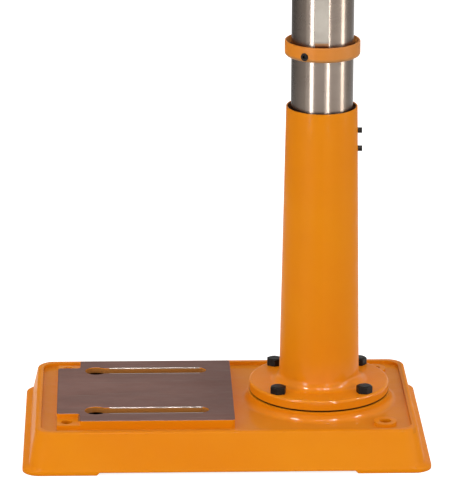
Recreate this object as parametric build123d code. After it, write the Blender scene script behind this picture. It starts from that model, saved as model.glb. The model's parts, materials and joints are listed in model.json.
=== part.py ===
from build123d import *
import math
import os

# A floor drill press. Lengths are in millimetres and angles in degrees.
# The origin lies on the floor, in the middle of the four anchor holes.
# +X is the operator's right, -Y faces the operator and +Z is up.
# The column stands behind the origin and the spindle hangs in front of it.

# Column and plan
COLUMN_D = 80.0
COLUMN_WALL = 6.0
COLUMN_LENGTH = 1349.0
COLUMN_Y = 125.0
THROAT = 215.0

# Clearances, and how far joined or cut shapes run past a face
FIT_GAP = 0.05
SLIDE_GAP = 0.3
RUN_GAP = 0.5
OVERRUN = 1.0

# Base casting
BASE_LENGTH = 525.0
BASE_WIDTH = 332.0
BASE_DRAFT_Y = 16.5
BASE_DRAFT_X = 27.0
BASE_RIM_Z = 48.5
BASE_CORNER_R = 23.0
BASE_TOP_CORNER_R = 22.0
BASE_EDGE_H = 4.5
BASE_EDGE_ROUND = 2.0
LEDGE_H = 8.5
LEDGE_END = 8.5
LEDGE_SIDE = 2.6
BASE_WALL = 9.0
RIM_WIDTH = 7.5
RIM_ROUND = 3.0
RECESS_DEPTH = 5.0
RECESS_CORNER_R = 18.0
BASE_TOP_WALL = 10.0
PAD_RISE = 12.5
FOOT_H = 3.5
FOOT_GAP_LENGTH = 334.0
FOOT_GAP_WIDTH = 164.0
FOOT_GAP_SLOPE = 45.0
RIB_T = 8.0
RIB_SPACING = 76.0
RIB_LIFT = 8.0

# Machined work pad on the base, with its two keyhole slots
PAD_SIDE_MARGIN = 23.0
PAD_FRONT_MARGIN = 27.5
PAD_LENGTH = 229.5
PAD_ROUND = 4.0
NOTCH_BLOCK_H = 6.5
NOTCH_LAND_X = 15.0
NOTCH_LAND_Y = 16.5
SLOT_SPACING = 154.0
SLOT_WIDTH = 21.0
SLOT_LENGTH = 136.0
KEYHOLE_D = 29.5
KEYHOLE_INSET = 50.5
SLOT_LEDGE_T = 8.0
SLOT_POCKET_MARGIN = 8.0

# Floor anchors
ANCHOR_SPACING_X = 206.0
ANCHOR_SPACING_Y = 411.0
ANCHOR_HOLE_D = 15.0
ANCHOR_POST_WALL = 9.5
ANCHOR_BOSS_WALL = 7.5
ANCHOR_BOSS_H = 5.0

# Pedestal that holds the column
PEDESTAL_H = 386.0
PEDESTAL_WALL = 6.0
PEDESTAL_TAPER = 6.5
PEDESTAL_FOOT_ROUND = 12.0
PEDESTAL_RIM = 2.0
PEDESTAL_BEVEL_H = 10.0
FLANGE_REACH = 39.0
FLANGE_T = 15.0
FLANGE_ROUND = 3.0
FLANGE_BEVEL = 1.5
COLUMN_LEDGE_H = 20.0
SEAT_MARGIN = 1.5
SEAT_ROUND = 9.0
SEAT_THICKNESS = 34.0
FLANGE_BOLT_INSET = 12.2
FLANGE_BOLT_D = 12.0
FLANGE_BOLT_AF = 19.0
FLANGE_BOLT_HEAD_H = 9.6
FLANGE_BOLT_BITE = 25.0
FLANGE_BOLT_TURN = 25.0
PEDESTAL_SCREW_D = 7.4
PEDESTAL_SCREW_PROUD = 5.5
PEDESTAL_SCREW_DROPS = (33.0, 57.2)

# Hex sockets and hex heads
SOCKET_DEPTH = 4.0
HEAD_CORNER_SHARE = 1.13
HEAD_BEVEL_DROP = 0.15
HEAD_BEVEL_REACH = 0.35

# Collars that hold the ends of the rack
COLLAR_WALL = 8.5
COLLAR_H = 19.8
COLLAR_ROUND = 1.5
COLLAR_FOOT_ROUND = 4.0
COLLAR_RIM = 2.2
COLLAR_BEVEL_H = 10.0
LOWER_COLLAR_RISE = 67.8
COLLAR_SCREW_D = 10.0
COLLAR_SCREW_ANGLE = -31.4
COLLAR_SCREW_RISE = 7.1
COLLAR_SCREW_PROUD = 0.8

# Rack on the right of the column, and the pinion that climbs it
RACK_TURN = -4.8
RACK_WIDTH = 18.0
RACK_T = 7.7
RACK_LENGTH = 526.0
RACK_TOE_T = 1.5
RACK_CHAMFER_H = 13.4
RACK_SINK = 4.8
RACK_GAPS = 42
RACK_GAPS_BELOW = 25.5
LIFT_MODULE = 2.5
LIFT_TEETH = 12
STUB_ADDENDUM = 0.7
ROOT_GAP = 0.25
BACKLASH = 0.3
PRESSURE_ANGLE = 20.0
LIFT_SHAFT_D = 18.0

# Table bracket on the column
BRACKET_RISE = 270.4
HUB_WALL = 20.0
HUB_H = 120.0
HUB_ROUND = 3.0
GEARBOX_DEPTH = 34.0
GEARBOX_INSET = 11.0
GEARBOX_H = 64.0
GEARBOX_ROUND = 16.0
BUSH_FLANGE_D = 48.0
BUSH_FLANGE_T = 5.0
SPLIT_GAP = 4.0
LUG_T = 20.0
LUG_REACH = 28.0
LUG_H = 36.0
LUG_ROUND = 12.0
CLAMP_SCREW_D = 12.0
CLAMP_SCREW_INSET = 16.0
TILT_BOSS_D = 80.0
TILT_BOSS_PROUD = 15.0
TILT_BOLT_D = 16.0
TILT_BOLT_AF = 24.0
TILT_BOLT_HEAD_H = 10.0
TILT_BOLT_BITE = 26.0

# Crank that lifts the table
CRANK_GAP = 2.5
CRANK_ARM_T = 12.0
CRANK_HUB_WALL = 8.0
CRANK_HUB_L = 20.0
CRANK_THROW = 95.0
CRANK_ANGLE = 30.0
CRANK_PIN_D = 10.0
CRANK_PIN_HEAD_D = 16.0
CRANK_PIN_HEAD_T = 3.3
GRIP_D = 27.0
GRIP_NECK_D = 19.5
GRIP_BULGE = 48.0
GRIP_L = 80.0

# Clamp levers
LEVER_ROD_D = 10.0
LEVER_HUB_D = 22.0
LEVER_HUB_L = 18.0
LEVER_L = 84.0
LEVER_KNOB_D = 26.0
LEVER_KNOB_FLAT = 10.9
BRACKET_LEVER_LEAN = 45.0
BRACKET_LEVER_RAKE = 10.0
TABLE_LEVER_LEAN = 150.0
TABLE_LEVER_RAKE = 12.0

# Table and the arm that carries it
TABLE_D = 300.0
TABLE_PLATE_T = 16.0
TABLE_RIM_T = 10.0
TABLE_DEPTH = 28.0
TABLE_RISE = 78.0
TABLE_HOLE_D = 26.0
TABLE_SLOT_WIDTH = 16.0
TABLE_SLOT_START = 55.0
TABLE_SLOT_MARGIN = 28.0
TABLE_SLOTS = 4
TABLE_EDGE = 2.0
TABLE_BOSS_DROP = 4.0
STEM_WALL = 7.0
STEM_CLEAR = 2.0
ARM_FLANGE_T = 20.0
ARM_WEB_WIDTH = 40.0
ARM_WEB_H = 24.0
ARM_SOCKET_WALL = 13.0
TABLE_SCREW_D = 10.0
TABLE_SCREW_RISE = 8.0

# Head casting
HEAD_CAP_T = 15.0
HEAD_ROUND = 9.0
COLUMN_SOCKET_WALL = 23.0
COLUMN_SOCKET_DROP = 55.0
QUILL_BOSS_WALL = 17.0
QUILL_BOSS_DROP = 30.0
NOSE_WALL = 24.0
HEAD_SCREW_D = 12.0
HEAD_SCREW_DROPS = (15.0, 40.0)
HEAD_SCREW_PROUD = 5.0

# Quill, spindle and their bearings
SPINDLE_D = 25.0
SPINDLE_STEP = 2.5
DRIVE_STEP = 1.0
LOWER_BEARING_WALL = 13.5
LOWER_BEARING_H = 15.0
UPPER_BEARING_WALL = 11.0
UPPER_BEARING_H = 12.0
QUILL_WALL = 6.0
QUILL_L = 160.0
QUILL_PROUD = 10.0
QUILL_HEADROOM = 8.0
QUILL_TOP_GAP = 2.0
QUILL_BORE_GAP = 4.5
SPINDLE_TOP_PROUD = 20.0
SPINDLE_NOSE_D = 38.0
SPINDLE_NOSE_H = 24.0
SPINDLE_NOSE_GAP = 4.0
SPINDLE_TAPER_D = 16.0
SPINDLE_TAPER_END_D = 14.4
SPINDLE_TAPER_L = 34.0

# Feed pinion shaft, hub and handles
FEED_MODULE = 2.0
FEED_TEETH = 14
FEED_PINION_WIDTH = 16.0
FEED_RISE = 22.0
QUILL_GAPS = 17
QUILL_GAPS_BELOW = 1.5
QUILL_FLAT = 1.0
FEED_SHAFT_D = 20.0
FEED_BOSS_WALL = 12.8
FEED_BOSS_PROUD = 16.0
DEPTH_RING_D = 64.0
DEPTH_RING_T = 12.0
DEPTH_RING_EDGE = 1.0
FEED_HUB_D = 52.0
FEED_HUB_L = 38.0
FEED_HUB_ROUND = 4.0
HANDLE_D = 12.0
HANDLE_ROOT_GAP = 5.0
HANDLE_L = 140.0
HANDLE_RAKE = 12.0
HANDLE_TURN = 30.0
HANDLE_COUNT = 3
HANDLE_KNOB_D = 30.0
HANDLE_KNOB_L = 44.0
HANDLE_KNOB_WALL = 3.0
HANDLE_KNOB_ROUND = 9.0
HANDLE_NECK_ROUND = 2.0

# Return spring of the quill
SPRING_CASE_D = 68.0
SPRING_CASE_L = 30.0
SPRING_CASE_WALL = 3.0
SPRING_T = 1.0
SPRING_WIDTH = 18.0
SPRING_PITCH = 3.4
SPRING_HALF_TURNS = 10

# Chuck
CHUCK_D = 50.0
CHUCK_NECK_D = 40.0
CHUCK_NECK_H = 20.0
CHUCK_BODY_H = 40.0
CHUCK_NOSE_H = 14.0
CHUCK_NOSE_D = 32.0
CHUCK_SLEEVE_WALL = 4.5
CHUCK_SLEEVE_H = 34.0
CHUCK_KEY_TEETH = 28
JAW_COUNT = 3
JAW_D = 8.0
JAW_L = 34.0
JAW_SLANT = 18.0
JAW_TIP_DROP = 9.0
JAW_TIP_RADIUS = 6.0
JAW_GRIP_RADIUS = 3.2

# Belt drive
PULLEY_GAP = 12.0
STEP_H = 20.0
STEP_COUNT = 4
STEP_DROP = 9.0
SPINDLE_STEP_R = 58.0
IDLER_STEP_R = 58.0
MOTOR_STEP_R = 52.0
GROOVE_DEPTH = 8.0
GROOVE_TOP_W = 13.0
GROOVE_BOTTOM_W = 8.0
BELT_TOP_W = 12.0
BELT_BOTTOM_W = 7.0
BELT_H = 7.5
FRONT_BELT_STEP = 0
REAR_BELT_STEP = 3
IDLER_LEAD = 7.0
IDLER_POST_D = 17.0
IDLER_BEARING_WALL = 11.5
IDLER_BEARING_H = 12.0
IDLER_SHOULDER = 5.5
DRIVE_SLEEVE_WALL = 6.0
DRIVE_BEARING_WALL = 11.0
DRIVE_BEARING_H = 11.0

# Motor and its slide
MOTOR_D = 140.0
MOTOR_H = 190.0
MOTOR_DROP = 20.0
MOTOR_WALL = 6.0
MOTOR_END_T = 14.0
MOTOR_FIN_T = 4.0
MOTOR_FIN_STEP = 15.0
MOTOR_FIN_START = -30.0
MOTOR_FINS = 17
STATOR_WALL = 26.0
STATOR_H = 90.0
ROTOR_GAP = 1.0
MOTOR_SHAFT_D = 19.0
MOTOR_SHAFT_PROUD = 8.0
MOTOR_PLATE_GAP = 42.0
MOTOR_PLATE_T = 10.0
MOTOR_PLATE_WIDTH = 150.0
MOTOR_PLATE_H = 120.0
MOTOR_PLATE_RISE = 40.0
MOTOR_PAD_WIDTH = 60.0
MOTOR_PAD_RISE = 20.0
MOTOR_PAD_H = 80.0
MOTOR_SLIDE_TRAVEL = 12.0
SLIDE_DROP = 60.0
SLIDE_ROD_D = 16.0
SLIDE_ROD_MARGIN = 5.0
SLIDE_ROD_L = 118.0
SLIDE_LUG_WALL = 7.0

# Belt guard
GUARD_SHEET = 2.0
GUARD_FRONT_ROOM = 29.0
GUARD_REAR_ROOM = 28.0
GUARD_PAN_H = 60.0
GUARD_LID_H = 74.0
GUARD_LID_ROUND = 14.0
GUARD_GAP = 0.4
HINGE_STANDOFF = 7.0
HINGE_PIN_D = 5.0
HINGE_KNUCKLE_WALL = 3.0
HINGE_KNUCKLE_L = 14.0
HINGE_INSET = 110.0
GUARD_KNOB_D = 24.0
GUARD_KNOB_L = 20.0
GUARD_KNOB_ROUND = 3.0
GUARD_KNOB_RISE = 25.0
GUARD_KNOB_STUD_D = 8.0
GUARD_KNOB_BITE = 6.0

# Switch on the head's nose
SWITCH_WIDTH = 64.0
SWITCH_H = 80.0
SWITCH_DEPTH = 32.0
SWITCH_WALL = 2.5
SWITCH_ROUND = 5.0
SWITCH_DROP = 53.0
SWITCH_PAD_PROUD = 4.0
BUTTON_D = 22.0
BUTTON_RISE = 18.0
BUTTON_PROUD = 5.0
STOP_HEAD_D = 32.0
STOP_HEAD_T = 9.0
GLAND_D = 15.0
GLAND_BORE_D = 8.0
GLAND_L = 12.0

# Places worked out from the sizes above
COLUMN_R = COLUMN_D / 2
SPINDLE_Y = COLUMN_Y - THROAT
BASE_TOP_LENGTH = BASE_LENGTH - 2 * BASE_DRAFT_Y
BASE_TOP_WIDTH = BASE_WIDTH - 2 * BASE_DRAFT_X
RECESS_Z = BASE_RIM_Z - RECESS_DEPTH
CEILING_Z = RECESS_Z - BASE_TOP_WALL
SEAT_Z = RECESS_Z + PAD_RISE
PAD_WIDTH = BASE_TOP_WIDTH - 2 * PAD_SIDE_MARGIN
PAD_FRONT_Y = PAD_FRONT_MARGIN - BASE_TOP_LENGTH / 2
PAD_REAR_Y = PAD_FRONT_Y + PAD_LENGTH
NOTCH_X = ANCHOR_SPACING_X / 2 - NOTCH_LAND_X
NOTCH_Y = NOTCH_LAND_Y - ANCHOR_SPACING_Y / 2
KEYHOLE_Y = PAD_FRONT_Y + KEYHOLE_INSET
PEDESTAL_TOP_R = COLUMN_R + PEDESTAL_WALL
PEDESTAL_FOOT_R = PEDESTAL_TOP_R + PEDESTAL_TAPER
FLANGE_R = PEDESTAL_FOOT_R + FLANGE_REACH
SEAT_R = FLANGE_R + SEAT_MARGIN
FLANGE_TOP_Z = SEAT_Z + FLANGE_T
PEDESTAL_TOP_Z = SEAT_Z + PEDESTAL_H
COLUMN_FOOT_Z = SEAT_Z + COLUMN_LEDGE_H
COLUMN_TOP_Z = COLUMN_FOOT_Z + COLUMN_LENGTH
COLLAR_R = COLUMN_R + COLLAR_WALL
LOWER_COLLAR_Z = PEDESTAL_TOP_Z + LOWER_COLLAR_RISE
LOWER_COLLAR_TOP_Z = LOWER_COLLAR_Z + COLLAR_H
RACK_FOOT_Z = LOWER_COLLAR_TOP_Z - RACK_SINK
RACK_TOP_Z = RACK_FOOT_Z + RACK_LENGTH
UPPER_COLLAR_Z = RACK_TOP_Z - RACK_SINK
RACK_BACK_R = COLUMN_R + SLIDE_GAP
RACK_FACE_R = RACK_BACK_R + RACK_T
LIFT_PITCH_R = LIFT_MODULE * LIFT_TEETH / 2
RACK_PITCH_X = RACK_FACE_R - STUB_ADDENDUM * LIFT_MODULE
PINION_X = RACK_PITCH_X + LIFT_PITCH_R
PINION_TIP_R = LIFT_PITCH_R + LIFT_MODULE
GEARBOX_R = PINION_TIP_R + RUN_GAP
HUB_R = COLUMN_R + HUB_WALL
GEARBOX_FRONT_Y = COLUMN_Y - HUB_R + GEARBOX_INSET
GEARBOX_REAR_Y = COLUMN_Y + HUB_R - GEARBOX_INSET
BRACKET_Z = LOWER_COLLAR_TOP_Z + BRACKET_RISE
CLAMP_SCREW_X = CLAMP_SCREW_INSET - HUB_R - LUG_REACH
TILT_FACE_Y = COLUMN_Y - HUB_R - TILT_BOSS_PROUD
CRANK_Y = COLUMN_Y + HUB_R + CRANK_GAP
CRANK_END_Y = CRANK_Y + CRANK_HUB_L
TABLE_TOP_Z = BRACKET_Z + TABLE_RISE
TABLE_PLATE_Z = TABLE_TOP_Z - TABLE_PLATE_T
TABLE_RIM_Z = TABLE_TOP_Z - TABLE_DEPTH
TABLE_SLOT_END = TABLE_D / 2 - TABLE_SLOT_MARGIN
TABLE_SCREW_Z = BRACKET_Z + TABLE_SCREW_RISE
ARM_WEB_Z = BRACKET_Z - TILT_BOSS_D / 2
ARM_FLANGE_Y = TILT_FACE_Y - SLIDE_GAP - ARM_FLANGE_T
STEM_R = TABLE_HOLE_D / 2 + STEM_WALL
ARM_SOCKET_R = STEM_R + ARM_SOCKET_WALL
STEM_TOP_Z = TABLE_RIM_Z - TABLE_BOSS_DROP
STEM_Z = ARM_WEB_Z + STEM_CLEAR
SPINDLE_R = SPINDLE_D / 2
SPINDLE_UPPER_R = SPINDLE_R - SPINDLE_STEP
SPINDLE_DRIVE_R = SPINDLE_UPPER_R - DRIVE_STEP
LOWER_BEARING_R = SPINDLE_R + LOWER_BEARING_WALL
UPPER_BEARING_R = SPINDLE_UPPER_R + UPPER_BEARING_WALL
QUILL_R = LOWER_BEARING_R + QUILL_WALL
QUILL_BORE_R = SPINDLE_R + QUILL_BORE_GAP
DRIVE_SLEEVE_R = SPINDLE_DRIVE_R + DRIVE_SLEEVE_WALL
DRIVE_BEARING_R = DRIVE_SLEEVE_R + DRIVE_BEARING_WALL
QUILL_BOSS_R = QUILL_R + QUILL_BOSS_WALL
NOSE_R = QUILL_R + NOSE_WALL
COLUMN_SOCKET_R = COLUMN_R + COLUMN_SOCKET_WALL
HEAD_TOP_Z = COLUMN_TOP_Z + HEAD_CAP_T
DRIVE_POCKET_Z = HEAD_TOP_Z - 2 * DRIVE_BEARING_H
QUILL_TOP_Z = DRIVE_POCKET_Z - QUILL_HEADROOM
QUILL_Z = QUILL_TOP_Z - QUILL_L
HEAD_Z = QUILL_Z + QUILL_PROUD + QUILL_BOSS_DROP
FEED_Z = HEAD_Z + FEED_RISE
FEED_PITCH_R = FEED_MODULE * FEED_TEETH / 2
FEED_JOURNAL_R = FEED_PITCH_R + FEED_MODULE + 4 * FIT_GAP
FEED_BOSS_R = FEED_JOURNAL_R + FEED_BOSS_WALL
FEED_BOSS_X = NOSE_R + FEED_BOSS_PROUD
QUILL_PITCH_OFFSET = QUILL_R - QUILL_FLAT - STUB_ADDENDUM * FEED_MODULE
FEED_Y = SPINDLE_Y + QUILL_PITCH_OFFSET + FEED_PITCH_R
DEPTH_RING_X = FEED_BOSS_X + RUN_GAP
FEED_HUB_X = DEPTH_RING_X + DEPTH_RING_T + RUN_GAP
HANDLE_ROOT = FEED_SHAFT_D / 2 + HANDLE_ROOT_GAP
SPINDLE_NOSE_Z = QUILL_Z - SPINDLE_NOSE_GAP - SPINDLE_NOSE_H
CHUCK_TOP_Z = SPINDLE_NOSE_Z - RUN_GAP
CHUCK_BODY_TOP_Z = CHUCK_TOP_Z - CHUCK_NECK_H
CHUCK_BODY_Z = CHUCK_BODY_TOP_Z - CHUCK_BODY_H
CHUCK_NOSE_Z = CHUCK_BODY_Z - CHUCK_NOSE_H
JAW_TIP_Z = CHUCK_NOSE_Z - JAW_TIP_DROP
PULLEY_Z = HEAD_TOP_Z + PULLEY_GAP
PULLEY_TOP_Z = PULLEY_Z + STEP_COUNT * STEP_H
SPINDLE_TOP_Z = PULLEY_TOP_Z + SPINDLE_TOP_PROUD
IDLER_Y = COLUMN_Y - IDLER_LEAD
IDLER_BEARING_R = IDLER_POST_D / 2 + IDLER_BEARING_WALL
IDLER_BORE_R = IDLER_POST_D / 2 + IDLER_SHOULDER
SLIDE_Z = HEAD_TOP_Z - SLIDE_DROP
SLIDE_LUG = SLIDE_ROD_D / 2 + SLIDE_LUG_WALL
MOTOR_TOP_Z = HEAD_TOP_Z - MOTOR_DROP
MOTOR_Z = MOTOR_TOP_Z - MOTOR_H
MOTOR_PLATE_Y = COLUMN_Y + COLUMN_SOCKET_R + MOTOR_PLATE_GAP
MOTOR_PLATE_END_Y = MOTOR_PLATE_Y + MOTOR_PLATE_T
MOTOR_Y = MOTOR_PLATE_END_Y + MOTOR_D / 2
MOTOR_SHAFT_TOP_Z = PULLEY_TOP_Z + MOTOR_SHAFT_PROUD
ROTOR_R = MOTOR_D / 2 - MOTOR_WALL - STATOR_WALL - ROTOR_GAP
GUARD_FRONT_R = SPINDLE_STEP_R + GROOVE_DEPTH + GUARD_FRONT_ROOM
GUARD_REAR_R = MOTOR_STEP_R + GROOVE_DEPTH + GUARD_REAR_ROOM
GUARD_PAN_TOP_Z = HEAD_TOP_Z + GUARD_PAN_H
GUARD_LID_Z = GUARD_PAN_TOP_Z + GUARD_GAP
GUARD_TOP_Z = GUARD_LID_Z + GUARD_LID_H
HINGE_X = -(max(GUARD_FRONT_R, GUARD_REAR_R) + HINGE_STANDOFF)
HINGE_Z = GUARD_PAN_TOP_Z + GUARD_GAP / 2
HINGE_KNUCKLE_R = HINGE_PIN_D / 2 + HINGE_KNUCKLE_WALL
HINGE_PLACES = (SPINDLE_Y + HINGE_INSET, MOTOR_Y - HINGE_INSET)
GUARD_KNOB_Y = (SPINDLE_Y + MOTOR_Y) / 2
GUARD_KNOB_Z = GUARD_LID_Z + GUARD_KNOB_RISE
SWITCH_Z = HEAD_TOP_Z - SWITCH_DROP
SWITCH_PAD_Y = SPINDLE_Y - NOSE_R - SWITCH_PAD_PROUD
SWITCH_FRONT_Y = SWITCH_PAD_Y - SWITCH_DEPTH


# Plain shapes

def post(radius, bottom, top, x=0.0, y=0.0):
    """Upright cylinder between two heights."""
    return Pos(x, y, (bottom + top) / 2) * Cylinder(radius, top - bottom)


def rod_x(radius, start, end, y, z):
    """Cylinder along X between two places."""
    return Pos((start + end) / 2, y, z) * Rot(0, 90, 0) * Cylinder(radius, end - start)


def rod_y(radius, start, end, x, z):
    """Cylinder along Y between two places."""
    return Pos(x, (start + end) / 2, z) * Rot(90, 0, 0) * Cylinder(radius, end - start)


def block(x_span, y_span, z_span):
    """Box given by its lowest and highest place along each axis."""
    spans = (x_span, y_span, z_span)
    middle = [(low + high) / 2 for low, high in spans]
    return Pos(*middle) * Box(*[high - low for low, high in spans])


def turned(profile, x=0.0, y=0.0):
    """Solid turned about an upright axis from (radius, height) points."""
    face = make_face(Plane.XZ * Polyline(*profile, close=True))
    return Pos(x, y, 0) * revolve(face, Axis.Z)


def turned_rounded(profile, rounds, x=0.0, y=0.0):
    """Turned solid whose profile has its own radius at each corner."""
    face = make_face(Plane.XZ * FilletPolyline(*profile, radius=rounds, close=True))
    return Pos(x, y, 0) * revolve(face, Axis.Z)


def tube(outer, inner, bottom, top, x=0.0, y=0.0):
    """Upright tube."""
    return post(outer, bottom, top, x, y) - post(inner, bottom, top, x, y)


def hexagon(across_flats, height):
    """Hexagonal prism standing on the plane z = 0."""
    return extrude(RegularPolygon(across_flats / 2, 6, major_radius=False), height)


def racetrack_wire(front_y, front_r, rear_y, rear_r, z=0.0):
    """Closed outline round two circles on the machine's centre plane: tangent lines and arcs."""
    slope = (front_r - rear_r) / (rear_y - front_y)
    across = math.sqrt(1 - slope * slope)
    front = Vector(front_r * across, front_y + front_r * slope, z)
    rear = Vector(rear_r * across, rear_y + rear_r * slope, z)
    front_left = Vector(-front.X, front.Y, z)
    rear_left = Vector(-rear.X, rear.Y, z)
    return Wire([
        Edge.make_line(front, rear),
        Edge.make_three_point_arc(rear, Vector(0, rear_y + rear_r, z), rear_left),
        Edge.make_line(rear_left, front_left),
        Edge.make_three_point_arc(front_left, Vector(0, front_y - front_r, z), front),
    ])


def racetrack(front_y, front_r, rear_y, rear_r, bottom, top):
    """Upright prism on that outline."""
    face = Face(racetrack_wire(front_y, front_r, rear_y, rear_r, bottom))
    return extrude(face, top - bottom, dir=(0, 0, 1))


def set_screw(diameter, length, socket_af):
    """Set screw along +X from the origin, with a hex socket in its far end."""
    screw = rod_x(diameter / 2, 0, length, 0, 0)
    socket = Rot(0, 90, 0) * hexagon(socket_af, SOCKET_DEPTH + OVERRUN)
    return screw - Pos(length - SOCKET_DEPTH, 0, 0) * socket


def hex_bolt(diameter, across_flats, head_h, length):
    """Hex bolt hanging from the plane z = 0, with its head above it."""
    head = hexagon(across_flats, head_h)
    crown = Pos(0, 0, head_h / 2) * Cylinder(across_flats / 2 * HEAD_CORNER_SHARE, head_h)
    rim = crown.edges().group_by(Axis.Z)[-1]
    head = head & chamfer(rim, head_h * HEAD_BEVEL_DROP, head_h * HEAD_BEVEL_REACH)
    return head + post(diameter / 2, -length, 0)


def gear_face(teeth, module, addendum, dedendum):
    """Outline of a spur gear with involute flanks and a tooth on its first axis."""
    pitch_r = module * teeth / 2
    angle = math.radians(PRESSURE_ANGLE)
    base_r = pitch_r * math.cos(angle)
    root_r = pitch_r - dedendum
    tip_r = pitch_r + addendum
    pitch_half = (math.pi * module / 2 - BACKLASH) / (2 * pitch_r)

    def half_width(radius):
        turn = math.acos(min(1.0, base_r / radius))
        return pitch_half + math.tan(angle) - angle - math.tan(turn) + turn

    first = max(base_r, root_r)
    radii = [first + (tip_r - first) * step / 4 for step in range(5)]
    if root_r < base_r:
        radii.insert(0, root_r)
    points = []
    for tooth in range(teeth):
        centre = 2 * math.pi * tooth / teeth
        flank = [(radius, centre - half_width(radius)) for radius in radii]
        flank += [(radius, centre + half_width(radius)) for radius in reversed(radii)]
        points += [(radius * math.cos(turn), radius * math.sin(turn)) for radius, turn in flank]
    return make_face(Polyline(*points, close=True))


def rack_gap(module, addendum, dedendum, middle):
    """Corners of one gap between rack teeth, as (depth below the tips, height) pairs from below."""
    pitch = math.pi * module
    lean = math.tan(math.radians(PRESSURE_ANGLE))
    pitch_half = (pitch / 2 + BACKLASH) / 2
    top_half = pitch_half + addendum * lean
    root_half = pitch_half - dedendum * lean
    depth = addendum + dedendum
    return [
        (0.0, middle - top_half),
        (depth, middle - root_half),
        (depth, middle + root_half),
        (0.0, middle + top_half),
    ]


# Base, pedestal and column

def wall_section(z, inset):
    """Outline of the base's tapered wall at a height, drawn in by an inset."""
    share = (BASE_RIM_Z - z) / (BASE_RIM_Z - LEDGE_H)
    width = BASE_TOP_WIDTH + 2 * (BASE_DRAFT_X - LEDGE_SIDE) * share - 2 * inset
    length = BASE_TOP_LENGTH + 2 * (BASE_DRAFT_Y - LEDGE_END) * share - 2 * inset
    return Pos(0, 0, z) * RectangleRounded(width, length, BASE_TOP_CORNER_R - inset)


def base_block():
    """Outer form of the base: an upright foot edge, a ledge at the ends and a tapered wall above."""
    outline = RectangleRounded(BASE_WIDTH, BASE_LENGTH, BASE_CORNER_R)
    edge = extrude(outline, BASE_EDGE_H)
    ledge = loft([Pos(0, 0, BASE_EDGE_H) * outline, wall_section(LEDGE_H, 0)], ruled=True)
    wall = loft([wall_section(LEDGE_H, 0), wall_section(BASE_RIM_Z, 0)], ruled=True)
    body = edge + ledge + wall
    return fillet(body.edges().filter_by_position(Axis.Z, BASE_EDGE_H, BASE_EDGE_H), BASE_EDGE_ROUND)


def anchor_places():
    """Centres of the four floor anchors."""
    half_x = ANCHOR_SPACING_X / 2
    half_y = ANCHOR_SPACING_Y / 2
    return [(side * half_x, end * half_y) for side in (-1, 1) for end in (-1, 1)]


def flange_bolt_places():
    """Centres of the four bolts round the pedestal's foot."""
    reach = (FLANGE_R - FLANGE_BOLT_INSET) * math.sqrt(0.5)
    return [(side * reach, COLUMN_Y + end * reach) for side in (-1, 1) for end in (-1, 1)]


def corner_blocks(inner_x, rear_y, bottom, top):
    """Two blocks that fill the pad's front corners up to an inner and a rear edge."""
    blocks = []
    for side in (-1, 1):
        edges = sorted((side * inner_x, side * PAD_WIDTH / 2))
        blocks.append(block(edges, (PAD_FRONT_Y, rear_y), (bottom, top)))
    return blocks


def work_pad():
    """Raised machined pad, notched at its two front corners for the anchor blocks."""
    half = PAD_WIDTH / 2
    pad = block((-half, half), (PAD_FRONT_Y, PAD_REAR_Y), (RECESS_Z, SEAT_Z))
    pad -= corner_blocks(NOTCH_X, NOTCH_Y, RECESS_Z, SEAT_Z)
    return fillet(pad.edges().filter_by(Axis.Z), PAD_ROUND)


def base_body():
    """Hollow tapered casting with a recessed top inside a narrow rim."""
    body = base_block()
    body = fillet(body.edges().group_by(Axis.Z)[-1], RIM_ROUND)
    body -= loft([wall_section(0, BASE_WALL), wall_section(CEILING_Z, BASE_WALL)], ruled=True)
    width = BASE_TOP_WIDTH - 2 * RIM_WIDTH
    length = BASE_TOP_LENGTH - 2 * RIM_WIDTH
    recess = RectangleRounded(width, length, RECESS_CORNER_R)
    return body - Pos(0, 0, RECESS_Z) * extrude(recess, RECESS_DEPTH)


def pedestal_seat():
    """Round seat under the pedestal's flange, with a hollow rounding where it meets the top."""
    low = SEAT_Z - SEAT_THICKNESS
    flare = SEAT_R + SEAT_ROUND + OVERRUN
    profile = [
        (0, low), (SEAT_R, low), (SEAT_R, CEILING_Z), (flare, CEILING_Z), (flare, RECESS_Z),
        (SEAT_R, RECESS_Z), (SEAT_R, SEAT_Z), (0, SEAT_Z)]
    return turned_rounded(profile, [0, 0, 0, 0, 0, SEAT_ROUND, 0, 0], 0, COLUMN_Y)


def base_ribs():
    """Two long ribs and one cross rib under the top."""
    span = (RIB_LIFT, CEILING_Z + OVERRUN)
    half = RIB_T / 2
    end = BASE_TOP_LENGTH / 2 - BASE_WALL
    ribs = []
    for x in (-RIB_SPACING / 2, RIB_SPACING / 2):
        ribs.append(block((x - half, x + half), (-end, end), span))
    reach = BASE_TOP_WIDTH / 2 - BASE_WALL / 2
    ribs.append(block((-reach, reach), (PAD_REAR_Y - half, PAD_REAR_Y + half), span))
    return ribs


def base_anchor_posts():
    """Posts down to the floor at the anchors, with low bosses on the rear two."""
    post_r = ANCHOR_HOLE_D / 2 + ANCHOR_POST_WALL
    boss_r = ANCHOR_HOLE_D / 2 + ANCHOR_BOSS_WALL
    posts = []
    for x, y in anchor_places():
        posts.append(post(post_r, 0, CEILING_Z + OVERRUN, x, y))
        if y > 0:
            posts.append(post(boss_r, RECESS_Z, RECESS_Z + ANCHOR_BOSS_H, x, y))
    return posts


def keyhole_slots():
    """Two slots through the pad, each with a round mouth at its front end."""
    cuts = []
    half = SLOT_WIDTH / 2
    end = KEYHOLE_Y + SLOT_LENGTH
    for x in (-SLOT_SPACING / 2, SLOT_SPACING / 2):
        cuts.append(block((x - half, x + half), (KEYHOLE_Y, end), (CEILING_Z, SEAT_Z)))
        cuts.append(post(half, CEILING_Z, SEAT_Z, x, end))
        cuts.append(post(KEYHOLE_D / 2, CEILING_Z, SEAT_Z, x, KEYHOLE_Y))
    return cuts


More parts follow.
